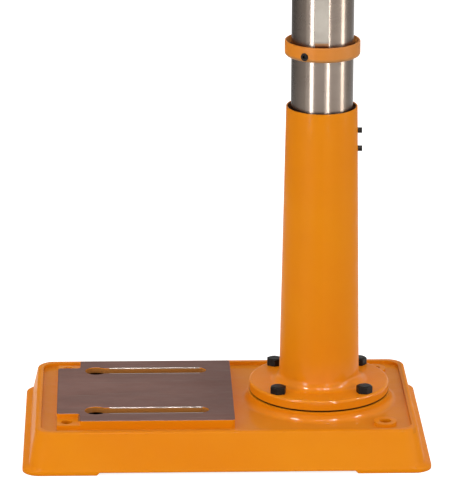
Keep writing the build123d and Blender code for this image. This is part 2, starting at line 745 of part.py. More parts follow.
def slot_pockets():
    """Pockets under the slots that leave a ledge for the heads of tee bolts."""
    half = KEYHOLE_D / 2 + SLOT_POCKET_MARGIN
    front = KEYHOLE_Y - half
    rear = KEYHOLE_Y + SLOT_LENGTH + SLOT_WIDTH / 2 + SLOT_POCKET_MARGIN
    sides = (-SLOT_SPACING / 2, SLOT_SPACING / 2)
    return [block((x - half, x + half), (front, rear), (CEILING_Z, SEAT_Z - SLOT_LEDGE_T)) for x in sides]


def base_holes():
    """Holes for the floor anchors, the flange bolts and the column's bore."""
    holes = [post(ANCHOR_HOLE_D / 2, 0, SEAT_Z, x, y) for x, y in anchor_places()]
    for x, y in flange_bolt_places():
        holes.append(post(FLANGE_BOLT_D / 2 + FIT_GAP, SEAT_Z - SEAT_THICKNESS, SEAT_Z, x, y))
    holes.append(post(COLUMN_R - COLUMN_WALL, 0, SEAT_Z, 0, COLUMN_Y))
    return holes


def foot_gaps():
    """Reliefs with sloped ends that leave the base standing on its four corners and four posts."""
    spans = [(2 * BASE_WIDTH, FOOT_GAP_LENGTH), (FOOT_GAP_WIDTH, 2 * BASE_LENGTH)]
    return [extrude(Rectangle(width, length), FOOT_H, taper=FOOT_GAP_SLOPE) for width, length in spans]


def base_casting():
    body = base_body() + work_pad()
    body += corner_blocks(NOTCH_X - PAD_ROUND, NOTCH_Y + PAD_ROUND, RECESS_Z, RECESS_Z + NOTCH_BLOCK_H)
    body += pedestal_seat()
    body += base_ribs()
    body += base_anchor_posts()
    body -= foot_gaps()
    body -= base_holes()
    body -= slot_pockets()
    return body - keyhole_slots()


def pedestal_radius(z):
    """Outer radius of the pedestal's taper at a height."""
    share = (z - FLANGE_TOP_Z) / (PEDESTAL_TOP_Z - FLANGE_TOP_Z)
    return PEDESTAL_FOOT_R - PEDESTAL_TAPER * share


def pedestal():
    bore = COLUMN_R + FIT_GAP
    mouth = PEDESTAL_TOP_R - PEDESTAL_RIM
    passage = COLUMN_R - COLUMN_WALL
    profile = [
        (passage, SEAT_Z), (FLANGE_R - FLANGE_BEVEL, SEAT_Z), (FLANGE_R, SEAT_Z + FLANGE_BEVEL),
        (FLANGE_R, FLANGE_TOP_Z), (PEDESTAL_FOOT_R, FLANGE_TOP_Z), (PEDESTAL_TOP_R, PEDESTAL_TOP_Z),
        (mouth, PEDESTAL_TOP_Z), (bore, PEDESTAL_TOP_Z - PEDESTAL_BEVEL_H), (bore, COLUMN_FOOT_Z),
        (passage, COLUMN_FOOT_Z)]
    rounds = [0, 0, 0, FLANGE_ROUND, PEDESTAL_FOOT_ROUND, 0, 0, 0, 0, 0]
    body = turned_rounded(profile, rounds, 0, COLUMN_Y)
    for x, y in flange_bolt_places():
        body -= post(FLANGE_BOLT_D / 2 + RUN_GAP, SEAT_Z, FLANGE_TOP_Z, x, y)
    for drop in PEDESTAL_SCREW_DROPS:
        hole_z = PEDESTAL_TOP_Z - drop
        body -= rod_y(PEDESTAL_SCREW_D / 2 + FIT_GAP, COLUMN_Y, COLUMN_Y + FLANGE_R, 0, hole_z)
    return body


def flange_bolts():
    bolt = hex_bolt(FLANGE_BOLT_D, FLANGE_BOLT_AF, FLANGE_BOLT_HEAD_H, FLANGE_T + FLANGE_BOLT_BITE)
    bolts = []
    for number, (x, y) in enumerate(flange_bolt_places()):
        bolts.append(Pos(x, y, FLANGE_TOP_Z) * Rot(0, 0, FLANGE_BOLT_TURN * number) * bolt)
    return bolts


def pedestal_set_screws():
    screws = []
    for drop in PEDESTAL_SCREW_DROPS:
        z = PEDESTAL_TOP_Z - drop
        length = pedestal_radius(z) + PEDESTAL_SCREW_PROUD - COLUMN_R
        screw = set_screw(PEDESTAL_SCREW_D, length, PEDESTAL_SCREW_D / 2)
        screws.append(Pos(0, COLUMN_Y, z) * Rot(0, 0, 90) * Pos(COLUMN_R, 0, 0) * screw)
    return screws


def column_tube():
    return tube(COLUMN_R, COLUMN_R - COLUMN_WALL, COLUMN_FOOT_Z, COLUMN_TOP_Z, 0, COLUMN_Y)


def collar(bevel_up):
    """Ring clamped round the column, bevelled inside on the rack's side, standing on z = 0."""
    bore = COLUMN_R + FIT_GAP
    mouth = COLLAR_R - COLLAR_RIM
    profile = [
        (bore, 0), (COLLAR_R, 0), (COLLAR_R, COLLAR_H), (mouth, COLLAR_H), (bore, COLLAR_H - COLLAR_BEVEL_H)]
    ring = turned_rounded(profile, [0, COLLAR_FOOT_ROUND, COLLAR_ROUND, 0, 0])
    hole = rod_x(COLLAR_SCREW_D / 2 + FIT_GAP, 0, 2 * COLLAR_R, 0, COLLAR_SCREW_RISE)
    ring -= Rot(0, 0, COLLAR_SCREW_ANGLE) * hole
    return ring if bevel_up else Pos(0, 0, COLLAR_H) * Rot(180, 0, 0) * ring


def lower_collar():
    return Pos(0, COLUMN_Y, LOWER_COLLAR_Z) * collar(True)


def upper_collar():
    return Pos(0, COLUMN_Y, UPPER_COLLAR_Z) * collar(False)


def collar_set_screws():
    """One screw in each collar. The upper collar is turned over, so its hole lies on the other side."""
    length = COLLAR_WALL + COLLAR_SCREW_PROUD
    screw = Pos(COLUMN_R, 0, 0) * set_screw(COLLAR_SCREW_D, length, COLLAR_SCREW_D / 2)
    lower_z = LOWER_COLLAR_Z + COLLAR_SCREW_RISE
    upper_z = UPPER_COLLAR_Z + COLLAR_H - COLLAR_SCREW_RISE
    lower = Pos(0, COLUMN_Y, lower_z) * Rot(0, 0, COLLAR_SCREW_ANGLE) * screw
    upper = Pos(0, COLUMN_Y, upper_z) * Rot(0, 0, -COLLAR_SCREW_ANGLE) * screw
    return [lower, upper]


# Table lift

def at_rack(piece):
    """A piece drawn with the rack at +X, turned about the column to where the rack stands."""
    return Pos(0, COLUMN_Y, 0) * Rot(0, 0, RACK_TURN) * Pos(0, -COLUMN_Y, 0) * piece


def table_rack():
    """Rack with smooth chamfered ends that sit in the collars' bevels."""
    pitch = math.pi * LIFT_MODULE
    addendum = STUB_ADDENDUM * LIFT_MODULE
    toe = RACK_BACK_R + RACK_TOE_T
    first = BRACKET_Z - pitch * RACK_GAPS_BELOW
    profile = [(0, RACK_FOOT_Z), (toe, RACK_FOOT_Z), (RACK_FACE_R, RACK_FOOT_Z + RACK_CHAMFER_H)]
    for number in range(RACK_GAPS):
        gap = rack_gap(LIFT_MODULE, addendum, LIFT_MODULE + ROOT_GAP, first + number * pitch)
        profile += [(RACK_FACE_R - depth, z) for depth, z in gap]
    profile += [(RACK_FACE_R, RACK_TOP_Z - RACK_CHAMFER_H), (toe, RACK_TOP_Z), (0, RACK_TOP_Z)]
    bar = extrude(make_face(Plane.XZ * Polyline(*profile, close=True)), RACK_WIDTH / 2, both=True)
    bar -= post(RACK_BACK_R, RACK_FOOT_Z, RACK_TOP_Z)
    return at_rack(Pos(0, COLUMN_Y, 0) * bar)


def bracket_gearbox():
    """Housing of the lift pinion beside the column."""
    z_span = (BRACKET_Z - GEARBOX_H / 2, BRACKET_Z + GEARBOX_H / 2)
    x_span = (COLUMN_R, PINION_X + GEARBOX_DEPTH)
    box = block(x_span, (GEARBOX_FRONT_Y, GEARBOX_REAR_Y), z_span)
    return at_rack(fillet(box.edges().filter_by(Axis.Y).group_by(Axis.X)[-1], GEARBOX_ROUND))


def bracket_gear_space():
    """Channel for the rack, room for the pinion and the bore of its shaft."""
    reach = RACK_WIDTH / 2 + SLIDE_GAP
    z_span = (BRACKET_Z - HUB_H, BRACKET_Z + HUB_H)
    space = block((0, RACK_FACE_R + SLIDE_GAP), (COLUMN_Y - reach, COLUMN_Y + reach), z_span)
    room_y = COLUMN_Y - RACK_WIDTH / 2 - RUN_GAP
    space += rod_y(GEARBOX_R, room_y, GEARBOX_REAR_Y, PINION_X, BRACKET_Z)
    space += rod_y(LIFT_SHAFT_D / 2 + FIT_GAP, GEARBOX_FRONT_Y, COLUMN_Y, PINION_X, BRACKET_Z)
    return at_rack(space)


def table_bracket():
    """Split hub that climbs the column, with a gearbox, two clamp lugs and a face for the arm."""
    low = BRACKET_Z - HUB_H / 2
    high = BRACKET_Z + HUB_H / 2
    hub = post(HUB_R, low, high, 0, COLUMN_Y)
    hub = fillet(hub.edges().filter_by(GeomType.CIRCLE), HUB_ROUND)
    lug_y = LUG_T + SPLIT_GAP / 2
    lug_x = HUB_R + LUG_REACH
    lug_z = (BRACKET_Z - LUG_H / 2, BRACKET_Z + LUG_H / 2)
    lugs = block((-lug_x, -COLUMN_R), (COLUMN_Y - lug_y, COLUMN_Y + lug_y), lug_z)
    lugs = fillet(lugs.edges().filter_by(Axis.Y).group_by(Axis.X)[0], LUG_ROUND)
    boss = rod_y(TILT_BOSS_D / 2, TILT_FACE_Y, COLUMN_Y - COLUMN_R, 0, BRACKET_Z)
    body = hub + bracket_gearbox() + lugs + boss
    body -= post(COLUMN_R + SLIDE_GAP, low, high, 0, COLUMN_Y)
    body -= bracket_gear_space()
    body -= block((-lug_x, 0), (COLUMN_Y - SPLIT_GAP / 2, COLUMN_Y + SPLIT_GAP / 2), (low, high))
    body -= rod_y(CLAMP_SCREW_D / 2 + FIT_GAP, COLUMN_Y - lug_y, COLUMN_Y + lug_y, CLAMP_SCREW_X, BRACKET_Z)
    return body - rod_y(TILT_BOLT_D / 2 + FIT_GAP, TILT_FACE_Y, TILT_FACE_Y + TILT_BOLT_BITE, 0, BRACKET_Z)


def pinion_bush():
    """Bush that closes the gearbox behind the pinion."""
    start = COLUMN_Y + RACK_WIDTH / 2 + RUN_GAP
    end = GEARBOX_REAR_Y + BUSH_FLANGE_T
    body = rod_y(GEARBOX_R - FIT_GAP, start, GEARBOX_REAR_Y, PINION_X, BRACKET_Z)
    body += rod_y(BUSH_FLANGE_D / 2, GEARBOX_REAR_Y, end, PINION_X, BRACKET_Z)
    return at_rack(body - rod_y(LIFT_SHAFT_D / 2 + FIT_GAP, start, end, PINION_X, BRACKET_Z))


def lift_pinion():
    """Pinion cut on its shaft, with a gap between teeth facing the rack."""
    face = gear_face(LIFT_TEETH, LIFT_MODULE, LIFT_MODULE, STUB_ADDENDUM * LIFT_MODULE + ROOT_GAP)
    gear = extrude(Plane.XZ * Rot(0, 0, 180 / LIFT_TEETH) * face, RACK_WIDTH / 2, both=True)
    gear = Pos(PINION_X, COLUMN_Y, BRACKET_Z) * gear
    return at_rack(gear + rod_y(LIFT_SHAFT_D / 2, GEARBOX_FRONT_Y, CRANK_END_Y, PINION_X, BRACKET_Z))


def crank_grip_place():
    """Where the crank's grip stands beside the lift shaft, as (x, z)."""
    turn = math.radians(CRANK_ANGLE)
    return PINION_X + CRANK_THROW * math.cos(turn), BRACKET_Z + CRANK_THROW * math.sin(turn)


def crank_arm():
    """Cast crank with the pin that its grip turns on."""
    arm_start = CRANK_Y + (CRANK_HUB_L - CRANK_ARM_T) / 2
    arm_end = arm_start + CRANK_ARM_T
    pin_end = arm_end + 2 * RUN_GAP + GRIP_L
    grip_x, grip_z = crank_grip_place()
    bar = block((0, CRANK_THROW), (arm_start, arm_end), (-CRANK_ARM_T, CRANK_ARM_T))
    body = Pos(PINION_X, 0, BRACKET_Z) * Rot(0, -CRANK_ANGLE, 0) * bar
    body += rod_y(LIFT_SHAFT_D / 2 + CRANK_HUB_WALL, CRANK_Y, CRANK_END_Y, PINION_X, BRACKET_Z)
    body += rod_y(CRANK_ARM_T, arm_start, arm_end, grip_x, grip_z)
    body += rod_y(CRANK_PIN_D / 2, arm_end, pin_end, grip_x, grip_z)
    body += rod_y(CRANK_PIN_HEAD_D / 2, pin_end, pin_end + CRANK_PIN_HEAD_T, grip_x, grip_z)
    return at_rack(body - rod_y(LIFT_SHAFT_D / 2 + FIT_GAP, CRANK_Y, CRANK_END_Y, PINION_X, BRACKET_Z))


def crank_grip():
    """Barrel-shaped grip that spins on the crank's pin."""
    start = CRANK_Y + (CRANK_HUB_L + CRANK_ARM_T) / 2 + RUN_GAP
    bore = CRANK_PIN_D / 2 + SLIDE_GAP
    neck = GRIP_NECK_D / 2
    side = Plane.XZ * ThreePointArc((neck, 0), (GRIP_D / 2, GRIP_BULGE), (neck, GRIP_L))
    rest = Plane.XZ * Polyline((neck, GRIP_L), (bore, GRIP_L), (bore, 0), (neck, 0))
    grip_x, grip_z = crank_grip_place()
    barrel = revolve(make_face(side + rest), Axis.Z)
    return at_rack(Pos(grip_x, start, grip_z) * Rot(-90, 0, 0) * barrel)


# Clamp levers, each a screw with a slanted rod and a ball at its end

def bracket_lever_place():
    """Root of the bracket lever's rod, with the rod along the local Z axis."""
    hub_y = COLUMN_Y + LUG_T + SPLIT_GAP / 2 + SLIDE_GAP + LEVER_HUB_L / 2
    lean = Rot(0, -BRACKET_LEVER_LEAN, 0) * Rot(-BRACKET_LEVER_RAKE, 0, 0)
    return Pos(CLAMP_SCREW_X, hub_y, BRACKET_Z) * lean


def bracket_clamp_lever():
    lug_y = LUG_T + SPLIT_GAP / 2
    hub_start = COLUMN_Y + lug_y + SLIDE_GAP
    body = rod_y(CLAMP_SCREW_D / 2, COLUMN_Y - lug_y, hub_start, CLAMP_SCREW_X, BRACKET_Z)
    body += rod_y(LEVER_HUB_D / 2, hub_start, hub_start + LEVER_HUB_L, CLAMP_SCREW_X, BRACKET_Z)
    return body + bracket_lever_place() * post(LEVER_ROD_D / 2, 0, LEVER_L)


def lever_knob():
    """Ball with a blind hole, placed at the end of a rod along Z."""
    ball = Pos(0, 0, LEVER_L) * Sphere(LEVER_KNOB_D / 2)
    flat = post(LEVER_KNOB_D, LEVER_L - LEVER_KNOB_D, LEVER_L - LEVER_KNOB_FLAT)
    return ball - flat - post(LEVER_ROD_D / 2 + FIT_GAP, 0, LEVER_L + FIT_GAP)


def bracket_lever_knob():
    return bracket_lever_place() * lever_knob()


def table_lever_place():
    """Root of the table lever's rod, with the rod along the local Z axis."""
    hub_x = ARM_SOCKET_R + SLIDE_GAP + LEVER_HUB_L / 2
    lean = Rot(TABLE_LEVER_LEAN, 0, 0) * Rot(0, TABLE_LEVER_RAKE, 0)
    return Pos(hub_x, SPINDLE_Y, TABLE_SCREW_Z) * lean


def table_lock_lever():
    hub_start = ARM_SOCKET_R + SLIDE_GAP
    body = rod_x(TABLE_SCREW_D / 2, STEM_R + SLIDE_GAP, hub_start, SPINDLE_Y, TABLE_SCREW_Z)
    body += rod_x(LEVER_HUB_D / 2, hub_start, hub_start + LEVER_HUB_L, SPINDLE_Y, TABLE_SCREW_Z)
    return body + table_lever_place() * post(LEVER_ROD_D / 2, 0, LEVER_L)


def table_lever_knob():
    return table_lever_place() * lever_knob()


# Table

def table_arm():
    """Arm that tilts on the bracket's face and holds the table's stem."""
    front = ARM_FLANGE_Y
    body = rod_y(TILT_BOSS_D / 2, front, front + ARM_FLANGE_T, 0, BRACKET_Z)
    half = ARM_WEB_WIDTH / 2
    body += block((-half, half), (SPINDLE_Y, front + OVERRUN), (ARM_WEB_Z, ARM_WEB_Z + ARM_WEB_H))
    body += post(ARM_SOCKET_R, ARM_WEB_Z, STEM_TOP_Z - SLIDE_GAP, 0, SPINDLE_Y)
    body -= post(STEM_R + FIT_GAP, ARM_WEB_Z, STEM_TOP_Z, 0, SPINDLE_Y)
    body -= rod_y(TILT_BOLT_D / 2 + FIT_GAP, front, front + ARM_FLANGE_T, 0, BRACKET_Z)
    return body - rod_x(TABLE_SCREW_D / 2 + FIT_GAP, 0, 2 * ARM_SOCKET_R, SPINDLE_Y, TABLE_SCREW_Z)


def tilt_bolt():
    front = ARM_FLANGE_Y - SLIDE_GAP
    bolt = hex_bolt(TILT_BOLT_D, TILT_BOLT_AF, TILT_BOLT_HEAD_H, TILT_FACE_Y + TILT_BOLT_BITE - front)
    return Pos(0, front, BRACKET_Z) * Rot(90, 0, 0) * bolt


def table_plate():
    """Round plate with a rim that hangs below it."""
    outer = TABLE_D / 2
    inner = outer - TABLE_RIM_T
    profile = [
        (0, TABLE_PLATE_Z), (inner, TABLE_PLATE_Z), (inner, TABLE_RIM_Z), (outer, TABLE_RIM_Z),
        (outer, TABLE_TOP_Z), (0, TABLE_TOP_Z)]
    return turned_rounded(profile, [0, 0, 0, TABLE_EDGE, TABLE_EDGE, 0])


def table_slot():
    """Cutter of one slot, along +X."""
    half = TABLE_SLOT_WIDTH / 2
    slot = block((TABLE_SLOT_START, TABLE_SLOT_END), (-half, half), (TABLE_PLATE_Z, TABLE_TOP_Z))
    for end in (TABLE_SLOT_START, TABLE_SLOT_END):
        slot += post(half, TABLE_PLATE_Z, TABLE_TOP_Z, end, 0)
    return slot


def table():
    """Round slotted table with ribs and a hollow stem."""
    body = table_plate() + post(ARM_SOCKET_R, STEM_TOP_Z, TABLE_PLATE_Z + OVERRUN)
    body += post(STEM_R, STEM_Z, STEM_TOP_Z)
    rib_end = TABLE_D / 2 - TABLE_RIM_T / 2
    rib = block((STEM_R, rib_end), (-RIB_T / 2, RIB_T / 2), (TABLE_RIM_Z, TABLE_PLATE_Z))
    slot = table_slot()
    step = 360 / TABLE_SLOTS
    for number in range(TABLE_SLOTS):
        body += Rot(0, 0, step * (number + 0.5)) * rib
        body -= Rot(0, 0, step * number) * slot
    body -= post(TABLE_HOLE_D / 2, STEM_Z, TABLE_TOP_Z)
    return Pos(0, SPINDLE_Y, 0) * body


# Head, quill and spindle

def slide_rod_places():
    """Sideways places of the two rods that the motor slides on."""
    return [side * (COLUMN_R + SLIDE_ROD_MARGIN + SLIDE_ROD_D / 2) for side in (-1, 1)]


def head_casting():
    socket_r = COLUMN_SOCKET_R
    body = racetrack(SPINDLE_Y, NOSE_R, COLUMN_Y, socket_r, HEAD_Z, HEAD_TOP_Z)
    body = fillet(body.edges().group_by(Axis.Z)[0], HEAD_ROUND)
    middle = (HEAD_Z + HEAD_TOP_Z) / 2
    body += post(socket_r, HEAD_Z - COLUMN_SOCKET_DROP, middle, 0, COLUMN_Y)
    body += post(QUILL_BOSS_R, HEAD_Z - QUILL_BOSS_DROP, middle, 0, SPINDLE_Y)
    body += rod_x(FEED_BOSS_R, -FEED_BOSS_X, FEED_BOSS_X, FEED_Y, FEED_Z)
    lug_y = (COLUMN_Y - socket_r / 2, COLUMN_Y + socket_r)
    for x in slide_rod_places():
        body += block((x - SLIDE_LUG, x + SLIDE_LUG), lug_y, (SLIDE_Z - SLIDE_LUG, SLIDE_Z + SLIDE_LUG))
    pad = SWITCH_WIDTH / 2 - SWITCH_WALL
    body += block((-pad, pad), (SWITCH_PAD_Y, SPINDLE_Y - QUILL_R), (SWITCH_Z - pad, SWITCH_Z + pad))
    body -= post(COLUMN_R + FIT_GAP, HEAD_Z - COLUMN_SOCKET_DROP, COLUMN_TOP_Z, 0, COLUMN_Y)
    ceiling = QUILL_TOP_Z + QUILL_TOP_GAP
    body -= post(QUILL_R + FIT_GAP, HEAD_Z - QUILL_BOSS_DROP, ceiling, 0, SPINDLE_Y)
    body -= post(DRIVE_SLEEVE_R + 2 * RUN_GAP, ceiling, HEAD_TOP_Z, 0, SPINDLE_Y)
    body -= post(DRIVE_BEARING_R + FIT_GAP, DRIVE_POCKET_Z, HEAD_TOP_Z, 0, SPINDLE_Y)
    body -= rod_x(FEED_JOURNAL_R + FIT_GAP, -FEED_PINION_WIDTH, FEED_BOSS_X, FEED_Y, FEED_Z)
    body -= rod_x(FEED_SHAFT_D / 2 + FIT_GAP, -FEED_BOSS_X, 0, FEED_Y, FEED_Z)
    for x in slide_rod_places():
        body -= rod_y(SLIDE_ROD_D / 2 + FIT_GAP, *lug_y, x, SLIDE_Z)
    for drop in HEAD_SCREW_DROPS:
        body -= rod_x(HEAD_SCREW_D / 2 + FIT_GAP, 0, 2 * COLUMN_SOCKET_R, COLUMN_Y, HEAD_Z - drop)
    return body - post(IDLER_POST_D / 2 + FIT_GAP, COLUMN_TOP_Z, HEAD_TOP_Z, 0, IDLER_Y)


def head_set_screws():
    length = COLUMN_SOCKET_R + HEAD_SCREW_PROUD - COLUMN_R
    screw = set_screw(HEAD_SCREW_D, length, HEAD_SCREW_D / 2)
    return [Pos(COLUMN_R, COLUMN_Y, HEAD_Z - drop) * screw for drop in HEAD_SCREW_DROPS]


def quill():
    """Sliding sleeve with a bearing pocket at each end and a rack cut in its back."""
    body = post(QUILL_R, QUILL_Z, QUILL_TOP_Z)
    body -= post(QUILL_BORE_R, QUILL_Z, QUILL_TOP_Z)
    body -= post(LOWER_BEARING_R + FIT_GAP, QUILL_Z, QUILL_Z + LOWER_BEARING_H)
    body -= post(UPPER_BEARING_R + FIT_GAP, QUILL_TOP_Z - UPPER_BEARING_H, QUILL_TOP_Z)
    pitch = math.pi * FEED_MODULE
    face_y = QUILL_R - QUILL_FLAT
    low_z = FEED_Z - pitch * QUILL_GAPS_BELOW
    profile = [(2 * QUILL_R, low_z - pitch / 2)]
    for number in range(QUILL_GAPS):
        middle = low_z + pitch * number
        gap = rack_gap(FEED_MODULE, STUB_ADDENDUM * FEED_MODULE, FEED_MODULE + ROOT_GAP, middle)
        profile += [(face_y - depth, z) for depth, z in gap]
    profile.append((2 * QUILL_R, low_z + pitch * (QUILL_GAPS - 0.5)))
    cutter = extrude(make_face(Plane.YZ * Polyline(*profile, close=True)), QUILL_R, both=True)
    return Pos(0, SPINDLE_Y, 0) * (body - cutter)


def quill_bearings():
    lower_top = QUILL_Z + LOWER_BEARING_H
    upper_low = QUILL_TOP_Z - UPPER_BEARING_H
    lower = tube(LOWER_BEARING_R, SPINDLE_R + FIT_GAP, QUILL_Z, lower_top, 0, SPINDLE_Y)
    upper = tube(UPPER_BEARING_R, SPINDLE_UPPER_R + FIT_GAP, upper_low, QUILL_TOP_Z, 0, SPINDLE_Y)
    return [lower, upper]


def spindle():
    shoulder = QUILL_Z + LOWER_BEARING_H + SPINDLE_NOSE_GAP
    nose_top = SPINDLE_NOSE_Z + SPINDLE_NOSE_H
    taper_end = SPINDLE_NOSE_Z - SPINDLE_TAPER_L
    return turned([
        (0, taper_end), (SPINDLE_TAPER_END_D / 2, taper_end), (SPINDLE_TAPER_D / 2, SPINDLE_NOSE_Z),
        (SPINDLE_NOSE_D / 2, SPINDLE_NOSE_Z), (SPINDLE_NOSE_D / 2, nose_top), (SPINDLE_R, nose_top),
        (SPINDLE_R, shoulder), (SPINDLE_UPPER_R, shoulder), (SPINDLE_UPPER_R, QUILL_TOP_Z),
        (SPINDLE_DRIVE_R, QUILL_TOP_Z), (SPINDLE_DRIVE_R, SPINDLE_TOP_Z), (0, SPINDLE_TOP_Z)], 0, SPINDLE_Y)


# Chuck

def jaw_place(number):
    """Tip of a jaw, with the slanted jaw along the local Z axis."""
    turn = Rot(0, 0, 360 / JAW_COUNT * number)
    return Pos(0, SPINDLE_Y, JAW_TIP_Z) * turn * Pos(JAW_TIP_RADIUS, 0, 0) * Rot(0, JAW_SLANT, 0)


def chuck_body():
    neck = CHUCK_NECK_D / 2
    wide = CHUCK_D / 2
    body = turned([
        (0, CHUCK_NOSE_Z), (CHUCK_NOSE_D / 2, CHUCK_NOSE_Z), (wide, CHUCK_BODY_Z), (wide, CHUCK_BODY_TOP_Z),
        (neck, CHUCK_BODY_TOP_Z), (neck, CHUCK_TOP_Z), (0, CHUCK_TOP_Z)], 0, SPINDLE_Y)
    taper_end = SPINDLE_NOSE_Z - SPINDLE_TAPER_L - 4 * RUN_GAP
    body -= turned([
        (0, taper_end), (SPINDLE_TAPER_END_D / 2 + FIT_GAP, taper_end),
        (SPINDLE_TAPER_D / 2 + FIT_GAP, SPINDLE_NOSE_Z), (0, SPINDLE_NOSE_Z)], 0, SPINDLE_Y)
    body -= post(JAW_TIP_RADIUS, CHUCK_NOSE_Z, CHUCK_BODY_Z + CHUCK_BODY_H / 2, 0, SPINDLE_Y)
    for number in range(JAW_COUNT):
        body -= jaw_place(number) * post(JAW_D / 2 + FIT_GAP, -JAW_D, JAW_L + JAW_D + RUN_GAP)
    return body


def chuck_sleeve():
    """Ring that opens and shuts the jaws, with key teeth round its lower edge."""
    inner = CHUCK_D / 2 + 2 * FIT_GAP
    outer = CHUCK_D / 2 + CHUCK_SLEEVE_WALL
    low = CHUCK_BODY_Z + (CHUCK_BODY_H - CHUCK_SLEEVE_H) / 2
    ring = turned([
        (inner, low), (outer - CHUCK_SLEEVE_WALL / 2, low), (outer, low + CHUCK_SLEEVE_WALL),
        (outer, low + CHUCK_SLEEVE_H), (inner, low + CHUCK_SLEEVE_H)])
    width = math.pi * outer / CHUCK_KEY_TEETH
    notch_x = (inner + CHUCK_SLEEVE_WALL / 2, outer + OVERRUN)
    notch = block(notch_x, (-width / 2, width / 2), (low - OVERRUN, low + CHUCK_SLEEVE_WALL))
    notches = [Rot(0, 0, 360 / CHUCK_KEY_TEETH * number) * notch for number in range(CHUCK_KEY_TEETH)]
    return Pos(0, SPINDLE_Y, 0) * (ring - notches)


def chuck_jaw(number):
    jaw = jaw_place(number) * post(JAW_D / 2, -JAW_D, JAW_L)
    jaw -= post(CHUCK_D, JAW_TIP_Z - CHUCK_D, JAW_TIP_Z, 0, SPINDLE_Y)
    face = block((-CHUCK_D, JAW_GRIP_RADIUS), (-CHUCK_D, CHUCK_D), (JAW_TIP_Z - CHUCK_D, CHUCK_TOP_Z))
    return jaw - Pos(0, SPINDLE_Y, 0) * Rot(0, 0, 360 / JAW_COUNT * number) * face


# Quill feed

def feed_journal_x():
    """Where the feed shaft's thick journal starts, clear of the quill's side."""
    depth = FEED_Y - SPINDLE_Y - FEED_JOURNAL_R - RUN_GAP
    return math.sqrt(QUILL_R ** 2 - depth ** 2) + RUN_GAP


def feed_pinion_shaft():
    """Shaft across the head, with the pinion that drives the quill's rack."""
    dedendum = STUB_ADDENDUM * FEED_MODULE + ROOT_GAP
    face = gear_face(FEED_TEETH, FEED_MODULE, FEED_MODULE, dedendum)
    gear = extrude(Plane.YZ * Rot(0, 0, 180 / FEED_TEETH) * face, FEED_PINION_WIDTH / 2, both=True)
    body = Pos(0, FEED_Y, FEED_Z) * gear
    left_end = -FEED_BOSS_X - SPRING_CASE_L + SPRING_CASE_WALL + RUN_GAP
    body += rod_x(FEED_SHAFT_D / 2, left_end, FEED_HUB_X + FEED_HUB_L, FEED_Y, FEED_Z)
    return body + rod_x(FEED_JOURNAL_R, feed_journal_x(), FEED_BOSS_X, FEED_Y, FEED_Z)


def handle_place(number):
    """Centre of the hub, with a handle along the local Z axis."""
    hub = Pos(FEED_HUB_X + FEED_HUB_L / 2, FEED_Y, FEED_Z)
    return hub * Rot(360 / HANDLE_COUNT * number + HANDLE_TURN, 0, 0) * Rot(0, HANDLE_RAKE, 0)


def feed_hub():
    hub = rod_x(FEED_HUB_D / 2, FEED_HUB_X, FEED_HUB_X + FEED_HUB_L, FEED_Y, FEED_Z)
    hub = fillet(hub.edges().filter_by(GeomType.CIRCLE), FEED_HUB_ROUND)
    hub -= rod_x(FEED_SHAFT_D / 2 + FIT_GAP, FEED_HUB_X, FEED_HUB_X + FEED_HUB_L, FEED_Y, FEED_Z)
    for number in range(HANDLE_COUNT):
        hub -= handle_place(number) * post(HANDLE_D / 2 + FIT_GAP, HANDLE_ROOT, FEED_HUB_D)
    return hub


def feed_handles():
    rod = post(HANDLE_D / 2, HANDLE_ROOT, HANDLE_L)
    return [handle_place(number) * rod for number in range(HANDLE_COUNT)]


def feed_knobs():
    """Tapered knobs screwed on the ends of the handles."""
    start = HANDLE_L - HANDLE_KNOB_L / 2
    end = HANDLE_L + HANDLE_KNOB_L / 2
    neck = HANDLE_D / 2 + HANDLE_KNOB_WALL
    wide = HANDLE_KNOB_D / 2
    profile = [(0, start), (neck, start), (wide, end - wide), (wide, end), (0, end)]
    knob = turned_rounded(profile, [0, HANDLE_NECK_ROUND, wide, HANDLE_KNOB_ROUND, 0])
    knob -= post(HANDLE_D / 2 + FIT_GAP, start, HANDLE_L + FIT_GAP)
    return [handle_place(number) * knob for number in range(HANDLE_COUNT)]


def depth_ring():
    """Graduated ring between the head and the feed hub."""
    span = (DEPTH_RING_X, DEPTH_RING_X + DEPTH_RING_T)
    ring = rod_x(DEPTH_RING_D / 2, *span, FEED_Y, FEED_Z)
    ring = chamfer(ring.edges().filter_by(GeomType.CIRCLE), DEPTH_RING_EDGE)
    return ring - rod_x(FEED_SHAFT_D / 2 + FIT_GAP, *span, FEED_Y, FEED_Z)


def spring_case():
    """Cup on the left of the head that holds the return spring."""
    end = -FEED_BOSS_X - SPRING_CASE_L
    cup = rod_x(SPRING_CASE_D / 2, end, -FEED_BOSS_X, FEED_Y, FEED_Z)
    cup = fillet(cup.edges().filter_by(GeomType.CIRCLE).group_by(Axis.X)[0], SPRING_CASE_WALL)
    inner = SPRING_CASE_D / 2 - SPRING_CASE_WALL
    return cup - rod_x(inner, end + SPRING_CASE_WALL, -FEED_BOSS_X, FEED_Y, FEED_Z)


def spiral_edges(extra):
    """Half-circle edges of a spiral in the XY plane, with some thickness added to each radius."""
    edges = []
    for number in range(SPRING_HALF_TURNS):
        side = 1 if number % 2 == 0 else -1
        middle = -side * SPRING_PITCH / 4
        radius = FEED_SHAFT_D / 2 + RUN_GAP + SPRING_PITCH / 4 + number * SPRING_PITCH / 2 + extra
        start = Vector(middle + side * radius, 0)
        end = Vector(middle - side * radius, 0)
        edges.append(Edge.make_three_point_arc(start, Vector(middle, side * radius), end))
    return edges


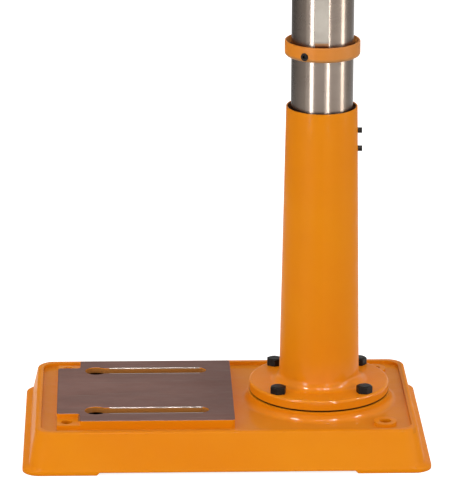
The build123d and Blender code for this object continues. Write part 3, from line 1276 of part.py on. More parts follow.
def return_spring():
    """Flat spiral spring between the feed shaft and its case."""
    inner = spiral_edges(0)
    outer = spiral_edges(SPRING_T)
    ends = [Edge.make_line(inner[0] @ 0, outer[0] @ 0), Edge.make_line(inner[-1] @ 1, outer[-1] @ 1)]
    strip = extrude(Face(Wire(inner + outer + ends)), SPRING_WIDTH, dir=(0, 0, 1))
    return Pos(-FEED_BOSS_X - SPRING_CASE_L / 2 - SPRING_WIDTH / 2, FEED_Y, FEED_Z) * Rot(0, 90, 0) * strip


# Belt drive

def step_radii(largest, growing):
    """Groove radii of a cone pulley from its lowest step up."""
    radii = [largest - STEP_DROP * step for step in range(STEP_COUNT)]
    return radii[::-1] if growing else radii


def cone_pulley(radii, bore, y):
    """Cone pulley with a belt groove in each step."""
    profile = [(bore, PULLEY_Z)]
    for step, radius in enumerate(radii):
        low = PULLEY_Z + step * STEP_H
        middle = low + STEP_H / 2
        rim = radius + GROOVE_DEPTH
        profile += [
            (rim, low), (rim, middle - GROOVE_TOP_W / 2), (radius, middle - GROOVE_BOTTOM_W / 2),
            (radius, middle + GROOVE_BOTTOM_W / 2), (rim, middle + GROOVE_TOP_W / 2), (rim, low + STEP_H)]
    profile.append((bore, PULLEY_TOP_Z))
    return turned(profile, 0, y)


def spindle_pulley():
    return cone_pulley(step_radii(SPINDLE_STEP_R, False), DRIVE_SLEEVE_R + FIT_GAP, SPINDLE_Y)


def idler_pulley():
    body = cone_pulley(step_radii(IDLER_STEP_R, True), IDLER_BORE_R, IDLER_Y)
    pocket = IDLER_BEARING_R + FIT_GAP
    body -= post(pocket, PULLEY_Z, PULLEY_Z + IDLER_BEARING_H, 0, IDLER_Y)
    return body - post(pocket, PULLEY_TOP_Z - IDLER_BEARING_H, PULLEY_TOP_Z, 0, IDLER_Y)


def motor_pulley():
    return cone_pulley(step_radii(MOTOR_STEP_R, False), MOTOR_SHAFT_D / 2 + FIT_GAP, MOTOR_Y)


def belt(front_y, front_r, rear_y, rear_r, step):
    """Vee belt round two pulleys, lying just clear of their grooves."""
    z = PULLEY_Z + (step + 0.5) * STEP_H
    path = racetrack_wire(front_y, front_r + SLIDE_GAP, rear_y, rear_r + SLIDE_GAP, z)
    start = path.edges()[0] @ 0
    along = path.edges()[0] % 0
    outward = along.cross(Vector(0, 0, 1))
    section = Plane(origin=start, x_dir=outward, z_dir=along)
    corners = [
        (0, -BELT_BOTTOM_W / 2), (BELT_H, -BELT_TOP_W / 2), (BELT_H, BELT_TOP_W / 2), (0, BELT_BOTTOM_W / 2)]
    return sweep(section * make_face(Polyline(*corners, close=True)), path)


def front_belt():
    front = step_radii(SPINDLE_STEP_R, False)[FRONT_BELT_STEP]
    rear = step_radii(IDLER_STEP_R, True)[FRONT_BELT_STEP]
    return belt(SPINDLE_Y, front, IDLER_Y, rear, FRONT_BELT_STEP)


def rear_belt():
    front = step_radii(IDLER_STEP_R, True)[REAR_BELT_STEP]
    rear = step_radii(MOTOR_STEP_R, False)[REAR_BELT_STEP]
    return belt(IDLER_Y, front, MOTOR_Y, rear, REAR_BELT_STEP)


def drive_sleeve():
    """Sleeve that turns in the head's top and drives the sliding spindle."""
    inner = SPINDLE_DRIVE_R + FIT_GAP
    return tube(DRIVE_SLEEVE_R, inner, DRIVE_POCKET_Z, PULLEY_TOP_Z, 0, SPINDLE_Y)


def drive_bearings():
    inner = DRIVE_SLEEVE_R + FIT_GAP
    low = DRIVE_POCKET_Z
    rings = [(low, low + DRIVE_BEARING_H - FIT_GAP), (low + DRIVE_BEARING_H, HEAD_TOP_Z)]
    return [tube(DRIVE_BEARING_R, inner, bottom, top, 0, SPINDLE_Y) for bottom, top in rings]


def idler_post():
    """Shouldered post screwed into the top of the head."""
    body = post(IDLER_POST_D / 2, COLUMN_TOP_Z, PULLEY_TOP_Z, 0, IDLER_Y)
    return body + post(IDLER_BORE_R, HEAD_TOP_Z, PULLEY_Z, 0, IDLER_Y)


def idler_bearings():
    inner = IDLER_POST_D / 2 + FIT_GAP
    lows = (PULLEY_Z, PULLEY_TOP_Z - IDLER_BEARING_H)
    return [tube(IDLER_BEARING_R, inner, low, low + IDLER_BEARING_H, 0, IDLER_Y) for low in lows]


# Motor

def motor_casing():
    """Ribbed barrel with its lower end closed and a pad that bolts to the slide plate."""
    top = MOTOR_TOP_Z - MOTOR_END_T
    outer = MOTOR_D / 2
    barrel = post(outer, MOTOR_Z, top, 0, MOTOR_Y)
    barrel = fillet(barrel.edges().group_by(Axis.Z)[0], MOTOR_END_T / 2)
    fin_z = (MOTOR_Z + 2 * MOTOR_END_T, top)
    fin = block((0, outer + MOTOR_WALL), (-MOTOR_FIN_T / 2, MOTOR_FIN_T / 2), fin_z)
    turns = [MOTOR_FIN_START + MOTOR_FIN_STEP * number for number in range(MOTOR_FINS)]
    fins = [Pos(0, MOTOR_Y, 0) * Rot(0, 0, turn) * fin for turn in turns]
    half = MOTOR_PAD_WIDTH / 2
    pad_z = (SLIDE_Z + MOTOR_PAD_RISE - MOTOR_PAD_H, SLIDE_Z + MOTOR_PAD_RISE)
    pad = block((-half, half), (MOTOR_Y - outer, MOTOR_Y), pad_z)
    body = barrel + fins + pad
    body -= post(outer - MOTOR_WALL, MOTOR_Z + MOTOR_END_T, top, 0, MOTOR_Y)
    return body - post(MOTOR_SHAFT_D / 2 + FIT_GAP, MOTOR_Z + MOTOR_WALL, top, 0, MOTOR_Y)


def motor_end_bell():
    low = MOTOR_TOP_Z - MOTOR_END_T
    bell = post(MOTOR_D / 2, low, MOTOR_TOP_Z, 0, MOTOR_Y)
    bell = fillet(bell.edges().group_by(Axis.Z)[-1], MOTOR_END_T / 2)
    return bell - post(MOTOR_SHAFT_D / 2 + FIT_GAP, low, MOTOR_TOP_Z, 0, MOTOR_Y)


def motor_core_span():
    """Heights between which the stator and rotor lie."""
    middle = (MOTOR_Z + MOTOR_TOP_Z) / 2
    return middle - STATOR_H / 2, middle + STATOR_H / 2


def motor_stator():
    outer = MOTOR_D / 2 - MOTOR_WALL - FIT_GAP
    return tube(outer, outer - STATOR_WALL, *motor_core_span(), 0, MOTOR_Y)


def motor_rotor():
    low, high = motor_core_span()
    body = post(ROTOR_R, low, high, 0, MOTOR_Y)
    return body + post(MOTOR_SHAFT_D / 2, MOTOR_Z + MOTOR_WALL, MOTOR_SHAFT_TOP_Z, 0, MOTOR_Y)


def motor_plate():
    """Upright plate between the motor and its slide rods."""
    half = MOTOR_PLATE_WIDTH / 2
    top = SLIDE_Z + MOTOR_PLATE_RISE
    span = (MOTOR_PLATE_Y, MOTOR_PLATE_END_Y)
    plate = block((-half, half), span, (top - MOTOR_PLATE_H, top))
    plate = fillet(plate.edges().filter_by(Axis.Y), MOTOR_PLATE_T)
    for x in slide_rod_places():
        plate -= rod_y(SLIDE_ROD_D / 2 + FIT_GAP, *span, x, SLIDE_Z)
    return plate


def motor_slide_rods():
    span = (MOTOR_PLATE_END_Y - SLIDE_ROD_L, MOTOR_PLATE_END_Y)
    return [rod_y(SLIDE_ROD_D / 2, *span, x, SLIDE_Z) for x in slide_rod_places()]


# Belt guard

def guard_block(inset, bottom, top):
    """Prism on the guard's plan, drawn in by an inset."""
    return racetrack(SPINDLE_Y, GUARD_FRONT_R - inset, MOTOR_Y, GUARD_REAR_R - inset, bottom, top)


def guard_side_x(y):
    """Half width of the guard's straight side at a place along Y."""
    slope = (GUARD_FRONT_R - GUARD_REAR_R) / (MOTOR_Y - SPINDLE_Y)
    return (GUARD_FRONT_R + slope * (SPINDLE_Y - y)) / math.sqrt(1 - slope * slope)


def hinge_knuckle(start, side):
    """Knuckle with its tab, on the lid's side (1) or the pan's side (-1) of the hinge line."""
    end = start + HINGE_KNUCKLE_L
    knuckle = rod_y(HINGE_KNUCKLE_R, start, end, HINGE_X, HINGE_Z)
    tab_z = sorted((HINGE_Z + side * GUARD_GAP, HINGE_Z + side * HINGE_KNUCKLE_R))
    wall_x = GUARD_SHEET / 2 - guard_side_x(end)
    knuckle += block((HINGE_X, wall_x), (start, end), tab_z)
    return knuckle - rod_y(HINGE_PIN_D / 2 + FIT_GAP, start, end, HINGE_X, HINGE_Z)


def guard_pan():
    top = GUARD_PAN_TOP_Z
    body = guard_block(0, HEAD_TOP_Z, top) - guard_block(GUARD_SHEET, HEAD_TOP_Z + GUARD_SHEET, top)
    body -= post(DRIVE_SLEEVE_R + 4 * RUN_GAP, HEAD_TOP_Z, top, 0, SPINDLE_Y)
    body -= post(IDLER_BORE_R + FIT_GAP, HEAD_TOP_Z, top, 0, IDLER_Y)
    slot = MOTOR_SHAFT_D / 2 + 4 * RUN_GAP
    body -= racetrack(MOTOR_Y - MOTOR_SLIDE_TRAVEL, slot, MOTOR_Y, slot, HEAD_TOP_Z, top)
    for place in HINGE_PLACES:
        for offset in (-1.5 * HINGE_KNUCKLE_L - RUN_GAP, 0.5 * HINGE_KNUCKLE_L + RUN_GAP):
            body += hinge_knuckle(place + offset, -1)
    return body


def guard_lid():
    body = guard_block(0, GUARD_LID_Z, GUARD_TOP_Z)
    body = fillet(body.edges().group_by(Axis.Z)[-1], GUARD_LID_ROUND)
    hollow = guard_block(GUARD_SHEET, GUARD_LID_Z, GUARD_TOP_Z - GUARD_SHEET)
    body -= fillet(hollow.edges().group_by(Axis.Z)[-1], GUARD_LID_ROUND - GUARD_SHEET)
    for place in HINGE_PLACES:
        body += hinge_knuckle(place - HINGE_KNUCKLE_L / 2, 1)
    wall = guard_side_x(GUARD_KNOB_Y)
    hole_r = GUARD_KNOB_STUD_D / 2 + FIT_GAP
    return body - rod_x(hole_r, wall - 2 * GUARD_SHEET, wall + GUARD_SHEET, GUARD_KNOB_Y, GUARD_KNOB_Z)


def guard_hinge_pins():
    reach = 1.5 * HINGE_KNUCKLE_L + 2 * RUN_GAP
    return [rod_y(HINGE_PIN_D / 2, place - reach, place + reach, HINGE_X, HINGE_Z) for place in HINGE_PLACES]


def guard_knob():
    """Knob that lifts the lid, with its stud through the lid's side."""
    start = guard_side_x(GUARD_KNOB_Y) + SLIDE_GAP
    knob = rod_x(GUARD_KNOB_D / 2, start, start + GUARD_KNOB_L, GUARD_KNOB_Y, GUARD_KNOB_Z)
    knob = fillet(knob.edges().filter_by(GeomType.CIRCLE), GUARD_KNOB_ROUND)
    stud = (start - GUARD_KNOB_BITE, start + OVERRUN)
    return knob + rod_x(GUARD_KNOB_STUD_D / 2, *stud, GUARD_KNOB_Y, GUARD_KNOB_Z)


# Switch

def switch_box():
    """Hollow box with two button holes in its front and a cable gland under it."""
    half = SWITCH_WIDTH / 2
    span = (SWITCH_Z - SWITCH_H / 2, SWITCH_Z + SWITCH_H / 2)
    box = block((-half, half), (SWITCH_FRONT_Y, SWITCH_PAD_Y), span)
    box = fillet(box.edges().filter_by(Axis.Y), SWITCH_ROUND)
    gland_y = (SWITCH_FRONT_Y + SWITCH_PAD_Y) / 2
    box += post(GLAND_D / 2, span[0] - GLAND_L, span[0] + SWITCH_WALL, 0, gland_y)
    inner = half - SWITCH_WALL
    hollow_z = (span[0] + SWITCH_WALL, span[1] - SWITCH_WALL)
    box -= block((-inner, inner), (SWITCH_FRONT_Y + SWITCH_WALL, SWITCH_PAD_Y), hollow_z)
    for side in (-1, 1):
        hole_z = SWITCH_Z + side * BUTTON_RISE
        box -= rod_y(BUTTON_D / 2 + SLIDE_GAP, SWITCH_FRONT_Y, SWITCH_FRONT_Y + SWITCH_WALL, 0, hole_z)
    return box - post(GLAND_BORE_D / 2, span[0] - GLAND_L, SWITCH_Z, 0, gland_y)


def button(z):
    """Push button with a collar that keeps it behind the box's front."""
    front = SWITCH_FRONT_Y - BUTTON_PROUD
    back = SWITCH_FRONT_Y + SWITCH_WALL
    body = rod_y(BUTTON_D / 2, front, back + SLIDE_GAP, 0, z)
    return body + rod_y(BUTTON_D / 2 + SWITCH_WALL, back + SLIDE_GAP, back + 2 * SWITCH_WALL, 0, z)


def start_button():
    return button(SWITCH_Z + BUTTON_RISE)


def stop_button():
    z = SWITCH_Z - BUTTON_RISE
    front = SWITCH_FRONT_Y - BUTTON_PROUD
    head = rod_y(STOP_HEAD_D / 2, front - STOP_HEAD_T, front, 0, z)
    head = fillet(head.edges().filter_by(GeomType.CIRCLE).group_by(Axis.Y)[0], STOP_HEAD_T / 2)
    return button(z) + head


PIECES = (
    base_casting, pedestal, flange_bolts, pedestal_set_screws, column_tube, lower_collar, upper_collar,
    collar_set_screws, table_rack, table_bracket, pinion_bush, lift_pinion, crank_arm, crank_grip,
    bracket_clamp_lever, bracket_lever_knob, table_arm, tilt_bolt, table, table_lock_lever, table_lever_knob,
    head_casting, head_set_screws, quill, quill_bearings, spindle, chuck_body, chuck_sleeve,
    feed_pinion_shaft, feed_hub, feed_handles, feed_knobs, depth_ring, spring_case, return_spring,
    spindle_pulley, idler_pulley, motor_pulley, front_belt, rear_belt, drive_sleeve, drive_bearings,
    idler_post, idler_bearings, motor_casing, motor_end_bell, motor_stator, motor_rotor, motor_plate,
    motor_slide_rods, guard_pan, guard_lid, guard_hinge_pins, guard_knob, switch_box, start_button,
    stop_button)


def main():
    os.makedirs("parts", exist_ok=True)
    shapes = {piece.__name__: piece() for piece in PIECES}
    for number in range(JAW_COUNT):
        shapes[f"chuck_jaw_{number + 1}"] = chuck_jaw(number)
    for name, shape in shapes.items():
        solids = shape if isinstance(shape, list) else [shape]
        whole = Compound([solid for item in solids for solid in item.solids()])
        export_step(whole, os.path.join("parts", f"{name}.step"))


if __name__ == "__main__":
    main()
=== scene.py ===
import json
import math

import bmesh
import bpy
from mathutils import Matrix, Vector


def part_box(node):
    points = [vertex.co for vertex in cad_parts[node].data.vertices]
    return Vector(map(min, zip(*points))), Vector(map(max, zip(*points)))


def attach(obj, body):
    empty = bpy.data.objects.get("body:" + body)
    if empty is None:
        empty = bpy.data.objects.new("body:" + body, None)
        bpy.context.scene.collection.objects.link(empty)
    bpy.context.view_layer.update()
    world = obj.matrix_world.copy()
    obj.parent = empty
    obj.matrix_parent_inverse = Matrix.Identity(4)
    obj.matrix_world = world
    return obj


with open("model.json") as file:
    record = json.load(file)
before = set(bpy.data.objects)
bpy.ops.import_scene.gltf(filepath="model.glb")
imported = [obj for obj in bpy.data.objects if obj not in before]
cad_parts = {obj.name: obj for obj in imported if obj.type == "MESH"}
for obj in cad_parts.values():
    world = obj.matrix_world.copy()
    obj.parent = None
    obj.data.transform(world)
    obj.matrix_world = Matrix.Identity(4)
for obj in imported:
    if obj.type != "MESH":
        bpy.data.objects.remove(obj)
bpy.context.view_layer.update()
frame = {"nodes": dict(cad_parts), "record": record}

# The looks of a floor drill press. Lengths are in metres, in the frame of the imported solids:
# +X is the operator's right, -Y faces the operator, +Z is up and the floor is z = 0.
nodes = frame["nodes"]

# Places taken from the solids
BASE_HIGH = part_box("base_casting")[1]
COLUMN_LOW, COLUMN_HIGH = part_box("column_tube")
COLUMN_AXIS = (COLUMN_LOW + COLUMN_HIGH) / 2
TABLE_LOW, TABLE_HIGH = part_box("table")
TABLE_AXIS = (TABLE_LOW + TABLE_HIGH) / 2

# Base: the machined pad's height and how far back it reaches, the floor of the recess round it,
# and how far the recess goes from the middle
PAD_Z = 0.056
PAD_REAR_Y = 0.0115
RECESS_Z = 0.0435
RECESS_X = 0.1345
RECESS_Y = 0.2415

# Pedestal: the joint under its flange, the flange's top and the rounding above it
JOINT_Z = 0.056
FLANGE_TOP_Z = 0.071
FLANGE_FILLET = 0.012

# Radius of the bevelled mouths of the pedestal and the lower collar, in which shade is painted next to the
# column
PEDESTAL_MOUTH_R = 0.0446
COLLAR_MOUTH_R = 0.0425

# Joint between the pulley guard's pan and lid, and how far the painted reflection on the rack reaches
# above its ring
GUARD_JOINT_Z = 1.5002
RACK_REFLECTION_RISE = 0.0065

# Keyhole slots in the pad: their distance from the middle, half their width, the straight run
# of their edges, the ledge over the pockets below them, and the patch that holds one
SLOT_X = 0.077
SLOT_HALF = 0.0105
SLOT_END_Y = -0.03
KEYHOLE_REAR_Y = -0.15
LEDGE_Z = 0.048
SLOT_REACH = 0.024
SLOT_FRONT_Y = -0.184
SLOT_REAR_Y = -0.0205
SLOT_MARGIN = 0.007

# Worn edges of the slots, painted bright as a highlight: how far they go in, out and down
SLOT_EDGE_IN = 0.0008
SLOT_EDGE_OUT = 0.0009
SLOT_EDGE_DROP = 0.0012

# Painted edges: how far they blur, along the surface and in height, how far below its top the pad is bare,
# and the height over which the pedestal's gloss fades
EDGE_BLUR = 0.0005
LEVEL_BLUR = 0.0002
PAD_TOP_DROP = 0.0003
GLOSS_FADE = 0.03

# How far the pad's darker tone reaches from its rear, the heights between which the recess floor's dust
# and painted shade end, and how far down the table's edge is turned
PAD_REAR_REACH = 0.2
DUST_SHADE_LOW = 0.0003
DUST_SHADE_HIGH = 0.002
TABLE_CUT = 0.002
TABLE_CUT_FADE = 0.001

# Painted shade: its height at a joint, how it fades there and in a mouth, where it starts and is full
# ahead of the recess's rear wall, and the heights between which it ends on that wall
JOINT_SHADOW = 0.002
JOINT_FADE = 0.001
MOUTH_FADE = 0.0006
CORNER_START = 0.004
CORNER_FULL = 0.0015
CORNER_PAST = 0.001
CORNER_LOW = 0.004
CORNER_HIGH = 0.006

# Heights between which the painted highlight on the collar's lower edge fades
COLLAR_EDGE_LOW = 0.002
COLLAR_EDGE_HIGH = 0.0055

# Span that most of a noise lies in
NOISE_LOW = 0.3
NOISE_HIGH = 0.7

# Depth scale: the ring's zero, travel in millimetres and turn per millimetre, the feed boss beside it,
# its lines, its figures and its arrow
DEPTH_ZERO = math.radians(40)
DEPTH_TRAVEL = 80
DEPTH_STEP = 2
DEPTH_MAIN = 10
DEPTH_ANGLE = 0.0714286
FEED_BOSS_R = 0.029
DEPTH_LINE = 0.0005
DEPTH_SHORT = 0.0026
DEPTH_LONG = 0.0042
DEPTH_EDGE = 0.001
DEPTH_FIGURE = 0.0042
DEPTH_FIGURE_EDGE = 0.0036
DEPTH_ARROW_GAP = 0.0065
DEPTH_ARROW = (0.004, 0.0055)

# Tilt scale: the table's tilt joint with its reach in degrees, its lines, its figures and its arrow
TILT_Z = 0.8
TILT_R = 0.04
TILT_JOINT_Y = 0.05
TILT_REACH = 45
TILT_STEP = 5
TILT_MAIN = 15
TILT_LINE = 0.0006
TILT_SHORT = 0.0032
TILT_LONG = 0.005
TILT_EDGE = 0.0008
TILT_FIGURE = 0.0048
TILT_FIGURE_EDGE = 0.009
TILT_ARROW_GAP = 0.0075
TILT_ARROW = (0.005, 0.0065)

# Marks: how far they stand out, and the bar and the ring on the two buttons
MARK_RISE = 0.0002
BAR_WIDTH = 0.0018
BAR_LENGTH = 0.009
RING_INNER_R = 0.0042
RING_OUTER_R = 0.0058
RING_STEPS = 40

# Screws of the switch box: their inset from its corners, their size, and shares of their radius and height
SWITCH_H = 0.08
SWITCH_INSET = 0.0065
SCREW_R = 0.003
SCREW_H = 0.0018
SCREW_STEPS = 24
SCREW_CROWN = 0.82
SCREW_SHOULDER = 0.7
SOCKET_CORNER = 0.55
SOCKET_FLOOR = 0.4

# Ridges of the chuck's sleeve: their number, half width as a share of their spacing, inset from the ends,
# run to full height, height and root
RIDGES = 60
RIDGE_SHARE = 0.3
RIDGE_INSET = 0.004
RIDGE_RUN = 0.001
RIDGE_RISE = 0.0005
RIDGE_ROOT = 0.0002

# Camera, fitted to the base and the pedestal in the photograph
CAMERA_PLACE = Vector((4.50665, -0.14469, 1.66992))
CAMERA_YAW = -0.03275
CAMERA_PITCH = 0.30542
CAMERA_ROLL = 0.003124
CAMERA_LENS = 261.92
SENSOR_WIDTH = 36.0
CAMERA_BEARING = math.atan2(CAMERA_PLACE.y - COLUMN_AXIS.y, CAMERA_PLACE.x - COLUMN_AXIS.x)

# Sky: its light, where it starts and ends to fade by height, and how bright it still shows overhead
SKY_LIGHT = 0.75
SKY_FADE_START = 0.1
SKY_FADE_END = 0.3
SKY_OVERHEAD = 0.36

# Floor: how far it goes, how far it lies below the feet, its grey, its own light,
# and how far inside the base's outline it is covered
FLOOR_REACH = 40.0
FLOOR_DROP = 0.0005
FLOOR_GREY = 0.6
FLOOR_LIGHT = 0.85
COVERED_INSET = 0.03

# Strip lights round the column, soft boxes by their distance from the foot of the pedestal,
# and fill lights beside the camera
STRIP_DISTANCE = 1.75
STRIP_HEIGHT = 1.0
BOX_DISTANCE = 6.0
BOX_SIZE = 0.85
FILL_DISTANCE = 3.4
FILL_HEIGHT = 1.0
FILL_TARGET_Z = 0.3
FILL_SIZE = 1.2
WHITE_LIGHT = (1.0, 1.0, 1.0)
COOL_LIGHT = (0.94, 1.0, 1.05)
CREAM_LIGHT = (1.0, 0.97, 0.92)

# Finishes too bright for the strips and the boxes, and the bright pieces that show their streaks
BRIGHT_SLOTS = ("polished_steel", "bearing_steel", "ground_iron", "plated_steel", "dial_aluminium",
                "pulley_aluminium")
STREAKED = ("column_tube", "table_rack")

# Pieces of the chuck, whose steel is less black than the screws
CHUCK_NODES = ("chuck_body", "chuck_sleeve", "chuck_jaw_1", "chuck_jaw_2", "chuck_jaw_3")

# Dark panels that give the column its dark sides, with tones at shares of their width
FLAG_DISTANCE = 1.2
FLAG_HEIGHT = 1.8
FLAG_STEPS = 24
LEFT_TONES = ((0.0, 0.8), (0.24, 0.5), (0.43, 0.28), (0.62, 0.2), (0.8, 0.3), (1.0, 0.7))
RIGHT_TONES = ((0.0, 0.8), (0.25, 0.56), (0.4, 0.54), (0.7, 0.66), (1.0, 0.8))


# Shader graphs

class Graph:
    """A new material whose shader nodes are added and joined by short calls."""

    def __init__(self, name):
        self.material = bpy.data.materials.new(name)
        self.material.use_nodes = True
        self.tree = self.material.node_tree
        self.shader = self.tree.nodes["Principled BSDF"]
        self.place = self.add("ShaderNodeTexCoord").outputs["Object"]

    def add(self, kind, **settings):
        node = self.tree.nodes.new(kind)
        for name, value in settings.items():
            setattr(node, name, value)
        return node

    def put(self, socket, value):
        """Joins an output to a socket, or sets the socket's own value."""
        if isinstance(value, bpy.types.NodeSocket):
            self.tree.links.new(value, socket)
        else:
            socket.default_value = value

    def set(self, **values):
        """Sets sockets of the main shader, with _ for the spaces in their names."""
        for name, value in values.items():
            self.put(self.shader.inputs[name.replace("_", " ")], value)

    def math(self, operation, first, second=0.0):
        node = self.add("ShaderNodeMath", operation=operation)
        self.put(node.inputs[0], first)
        self.put(node.inputs[1], second)
        return node.outputs[0]

    def times(self, *factors):
        """Product of two or more factors."""
        product = factors[0]
        for factor in factors[1:]:
            product = self.math("MULTIPLY", product, factor)
        return product

    def stretch(self, x, y, z):
        """The place, scaled along each axis, so that a texture is drawn out along the small ones."""
        node = self.add("ShaderNodeMapping")
        self.put(node.inputs["Vector"], self.place)
        node.inputs["Scale"].default_value = (x, y, z)
        return node.outputs[0]

    def noise(self, scale, detail, roughness=0.5, place=None):
        node = self.add("ShaderNodeTexNoise")
        self.put(node.inputs["Vector"], place or self.place)
        node.inputs["Scale"].default_value = scale
        node.inputs["Detail"].default_value = detail
        node.inputs["Roughness"].default_value = roughness
        return node.outputs["Fac"]

    def cells(self, scale):
        node = self.add("ShaderNodeTexVoronoi")
        self.put(node.inputs["Vector"], self.place)
        node.inputs["Scale"].default_value = scale
        return node.outputs["Distance"]

    def remap(self, value, low, high, to_low=0.0, to_high=1.0):
        """Value moved from one span to another, and held inside it."""
        node = self.add("ShaderNodeMapRange", clamp=True)
        numbers = (value, low, high, to_low, to_high)
        for socket, number in zip(node.inputs, numbers):
            self.put(socket, number)
        return node.outputs[0]

    def between(self, share, first, second):
        """Number between two numbers."""
        return self.remap(share, 0.0, 1.0, first, second)

    def spread(self, noise, low, high):
        """Noise moved from its usual span to another."""
        return self.remap(noise, NOISE_LOW, NOISE_HIGH, low, high)

    def mix(self, share, first, second):
        """Colour between two colours."""
        node = self.add("ShaderNodeMix", data_type="RGBA")
        self.put(node.inputs["Factor"], share)
        for socket, tone in ((node.inputs[6], first), (node.inputs[7], second)):
            self.put(socket, tone if isinstance(tone, bpy.types.NodeSocket) else (*tone, 1.0))
        return node.outputs[2]

    def bump(self, height, depth, normal=None):
        """Normal of a surface raised by a height from 0 to 1, times a depth in metres."""
        node = self.add("ShaderNodeBump")
        node.inputs["Distance"].default_value = depth
        self.put(node.inputs["Height"], height)
        if normal is not None:
            self.put(node.inputs["Normal"], normal)
        return node.outputs[0]

    def soft_edges(self, radius):
        """Normal that rounds sharp edges to a small radius."""
        node = self.add("ShaderNodeBevel", samples=6)
        node.inputs["Radius"].default_value = radius
        return node.outputs[0]

    def facing_up(self):
        """1 on level faces that look up, and 0 on walls."""
        split = self.add("ShaderNodeSeparateXYZ")
        self.put(split.inputs[0], self.add("ShaderNodeNewGeometry").outputs["Normal"])
        return self.remap(split.outputs["Z"], 0.6, 0.95)

    def axis(self, name):
        """One coordinate of the place."""
        node = self.add("ShaderNodeSeparateXYZ")
        self.put(node.inputs[0], self.place)
        return node.outputs[name]


def colour(red, green, blue):
    """Linear colour from the screen's 0 to 255 values."""
    def linear(value):
        share = value / 255
        return share / 12.92 if share <= 0.04045 else ((share + 0.055) / 1.055) ** 2.4
    return tuple(linear(value) for value in (red, green, blue))


# Colours
ORANGE = colour(228, 136, 10)
ORANGE_DEEP = colour(225, 129, 9)
# Dust and painted shade on the floor of the recess
ORANGE_DUST_AND_SHADE = colour(217, 131, 27)
# Painted shade in the gaps at joints and round the column
GAP_SHADE = colour(44, 25, 14)
PAD_IRON = colour(151, 115, 105)
PAD_IRON_DARK = colour(123, 90, 81)
STEEL = colour(161, 154, 144)
STEEL_DARK = colour(142, 134, 125)
COLUMN_STEEL = colour(132, 120, 110)
COLUMN_STEEL_DARK = colour(116, 104, 95)
# Painted shade on the walls of the slots
SLOT_SHADE = colour(174, 113, 54)
# Painted shade in the recess's rear corner
CORNER_SHADE = colour(112, 70, 34)
# Painted shade in the pockets below the slots
POCKET_SHADE = colour(24, 17, 13)
# Worn bare iron, painted bright as a highlight on the slot edges
WORN_HIGHLIGHT_STEEL = colour(228, 216, 206)
# Darker tone towards the pad's rear
PAD_REAR_TONE = colour(108, 78, 70)
# Painted sheen and highlight on the lower collar
COLLAR_SHEEN = colour(168, 122, 70)
# Painted reflection of the orange collar on the rack's foot
RACK_REFLECTION = colour(150, 112, 76)
OXIDE = colour(26, 22, 19)
OXIDE_WORN = colour(58, 48, 42)
CHUCK_DARK = colour(72, 68, 64)
CHUCK_WORN = colour(112, 106, 100)
TABLE_TURNED = colour(198, 194, 189)
TABLE_STAINED = colour(172, 167, 162)
TABLE_CAST = colour(138, 135, 132)
PLATED = colour(172, 173, 175)
PLATED_DULL = colour(152, 153, 156)
PLASTIC = colour(24, 24, 25)
PLASTIC_SCUFFED = colour(36, 35, 35)
SPRING_BLUE = colour(92, 98, 122)
SPRING_STRAW = colour(126, 112, 104)
MOTOR_BLACK = colour(34, 34, 36)
MOTOR_DUSTY = colour(52, 51, 51)
RUBBER = colour(26, 26, 27)
RUBBER_WORN = colour(46, 45, 44)
STATOR = colour(150, 104, 74)
STATOR_DARK = colour(112, 74, 52)
ROTOR = colour(172, 172, 176)
ROTOR_DARK = colour(132, 132, 136)
GREEN = colour(20, 138, 62)
GREEN_DARK = colour(14, 116, 50)
RED = colour(196, 26, 26)
RED_DARK = colour(172, 18, 20)
MARK_BLACK = colour(28, 27, 26)
MARK_WHITE = colour(236, 234, 228)

# Gloss of the enamel
PAINT_SPECULAR = 0.04
COAT_DULL = 0.04
COAT_SATIN = 0.1
COAT_GLOSSY = 0.3
COAT_ROUGHNESS = 0.05


def paint_normal(graph, radius=0.0012):
    """Soft edges, the casting's slow waves and the enamel's orange peel."""
    waves = graph.bump(graph.noise(22.0, 2.0), 0.0012, graph.soft_edges(radius))
    return graph.bump(graph.noise(170.0, 2.0), 0.00016, waves)


def paint_gloss(graph):
    """Roughness of the enamel, smoother in some patches."""
    return graph.spread(graph.noise(60.0, 4.0), 0.36, 0.48)


def paint_colour(graph):
    """Orange enamel, a little deeper where it lies thicker."""
    return graph.mix(graph.remap(graph.noise(9.0, 4.0), 0.35, 0.7), ORANGE, ORANGE_DEEP)


# Mask for the painted shade in the gap round the column
def column_dirt(graph, radius):
    """1 within a distance from the column's axis."""
    squares = 0.0
    for name, middle in (("X", COLUMN_AXIS.x), ("Y", COLUMN_AXIS.y)):
        side = graph.math("SUBTRACT", graph.axis(name), middle)
        squares = graph.math("ADD", graph.times(side, side), squares)
    return graph.remap(graph.math("SQRT", squares), radius - MOUTH_FADE, radius, 0.9, 0.0)


def enamel(name, coat=COAT_SATIN, joint_z=None, glossy_z=None, mouth_r=None):
    """Orange enamel. Where they are given, it has a painted shadow along a level joint and painted shade
    round the column, and more gloss below a height."""
    graph = Graph(name)
    tone = paint_colour(graph)
    if joint_z is not None:
        # Painted shadow along the joint
        distance = graph.math("ABSOLUTE", graph.math("SUBTRACT", graph.axis("Z"), joint_z))
        tone = graph.mix(graph.remap(distance, JOINT_SHADOW, JOINT_SHADOW + JOINT_FADE, 1.0, 0.0), tone, GAP_SHADE)
    if mouth_r is not None:
        # Painted shade in the mouth round the column
        tone = graph.mix(column_dirt(graph, mouth_r), tone, GAP_SHADE)
    if glossy_z is not None:
        coat = graph.remap(graph.axis("Z"), glossy_z, glossy_z + GLOSS_FADE, COAT_GLOSSY, coat)
    graph.set(Base_Color=tone, Roughness=paint_gloss(graph), Normal=paint_normal(graph))
    graph.set(Specular_IOR_Level=PAINT_SPECULAR, Coat_Weight=coat, Coat_Roughness=COAT_ROUGHNESS)
    return graph.material


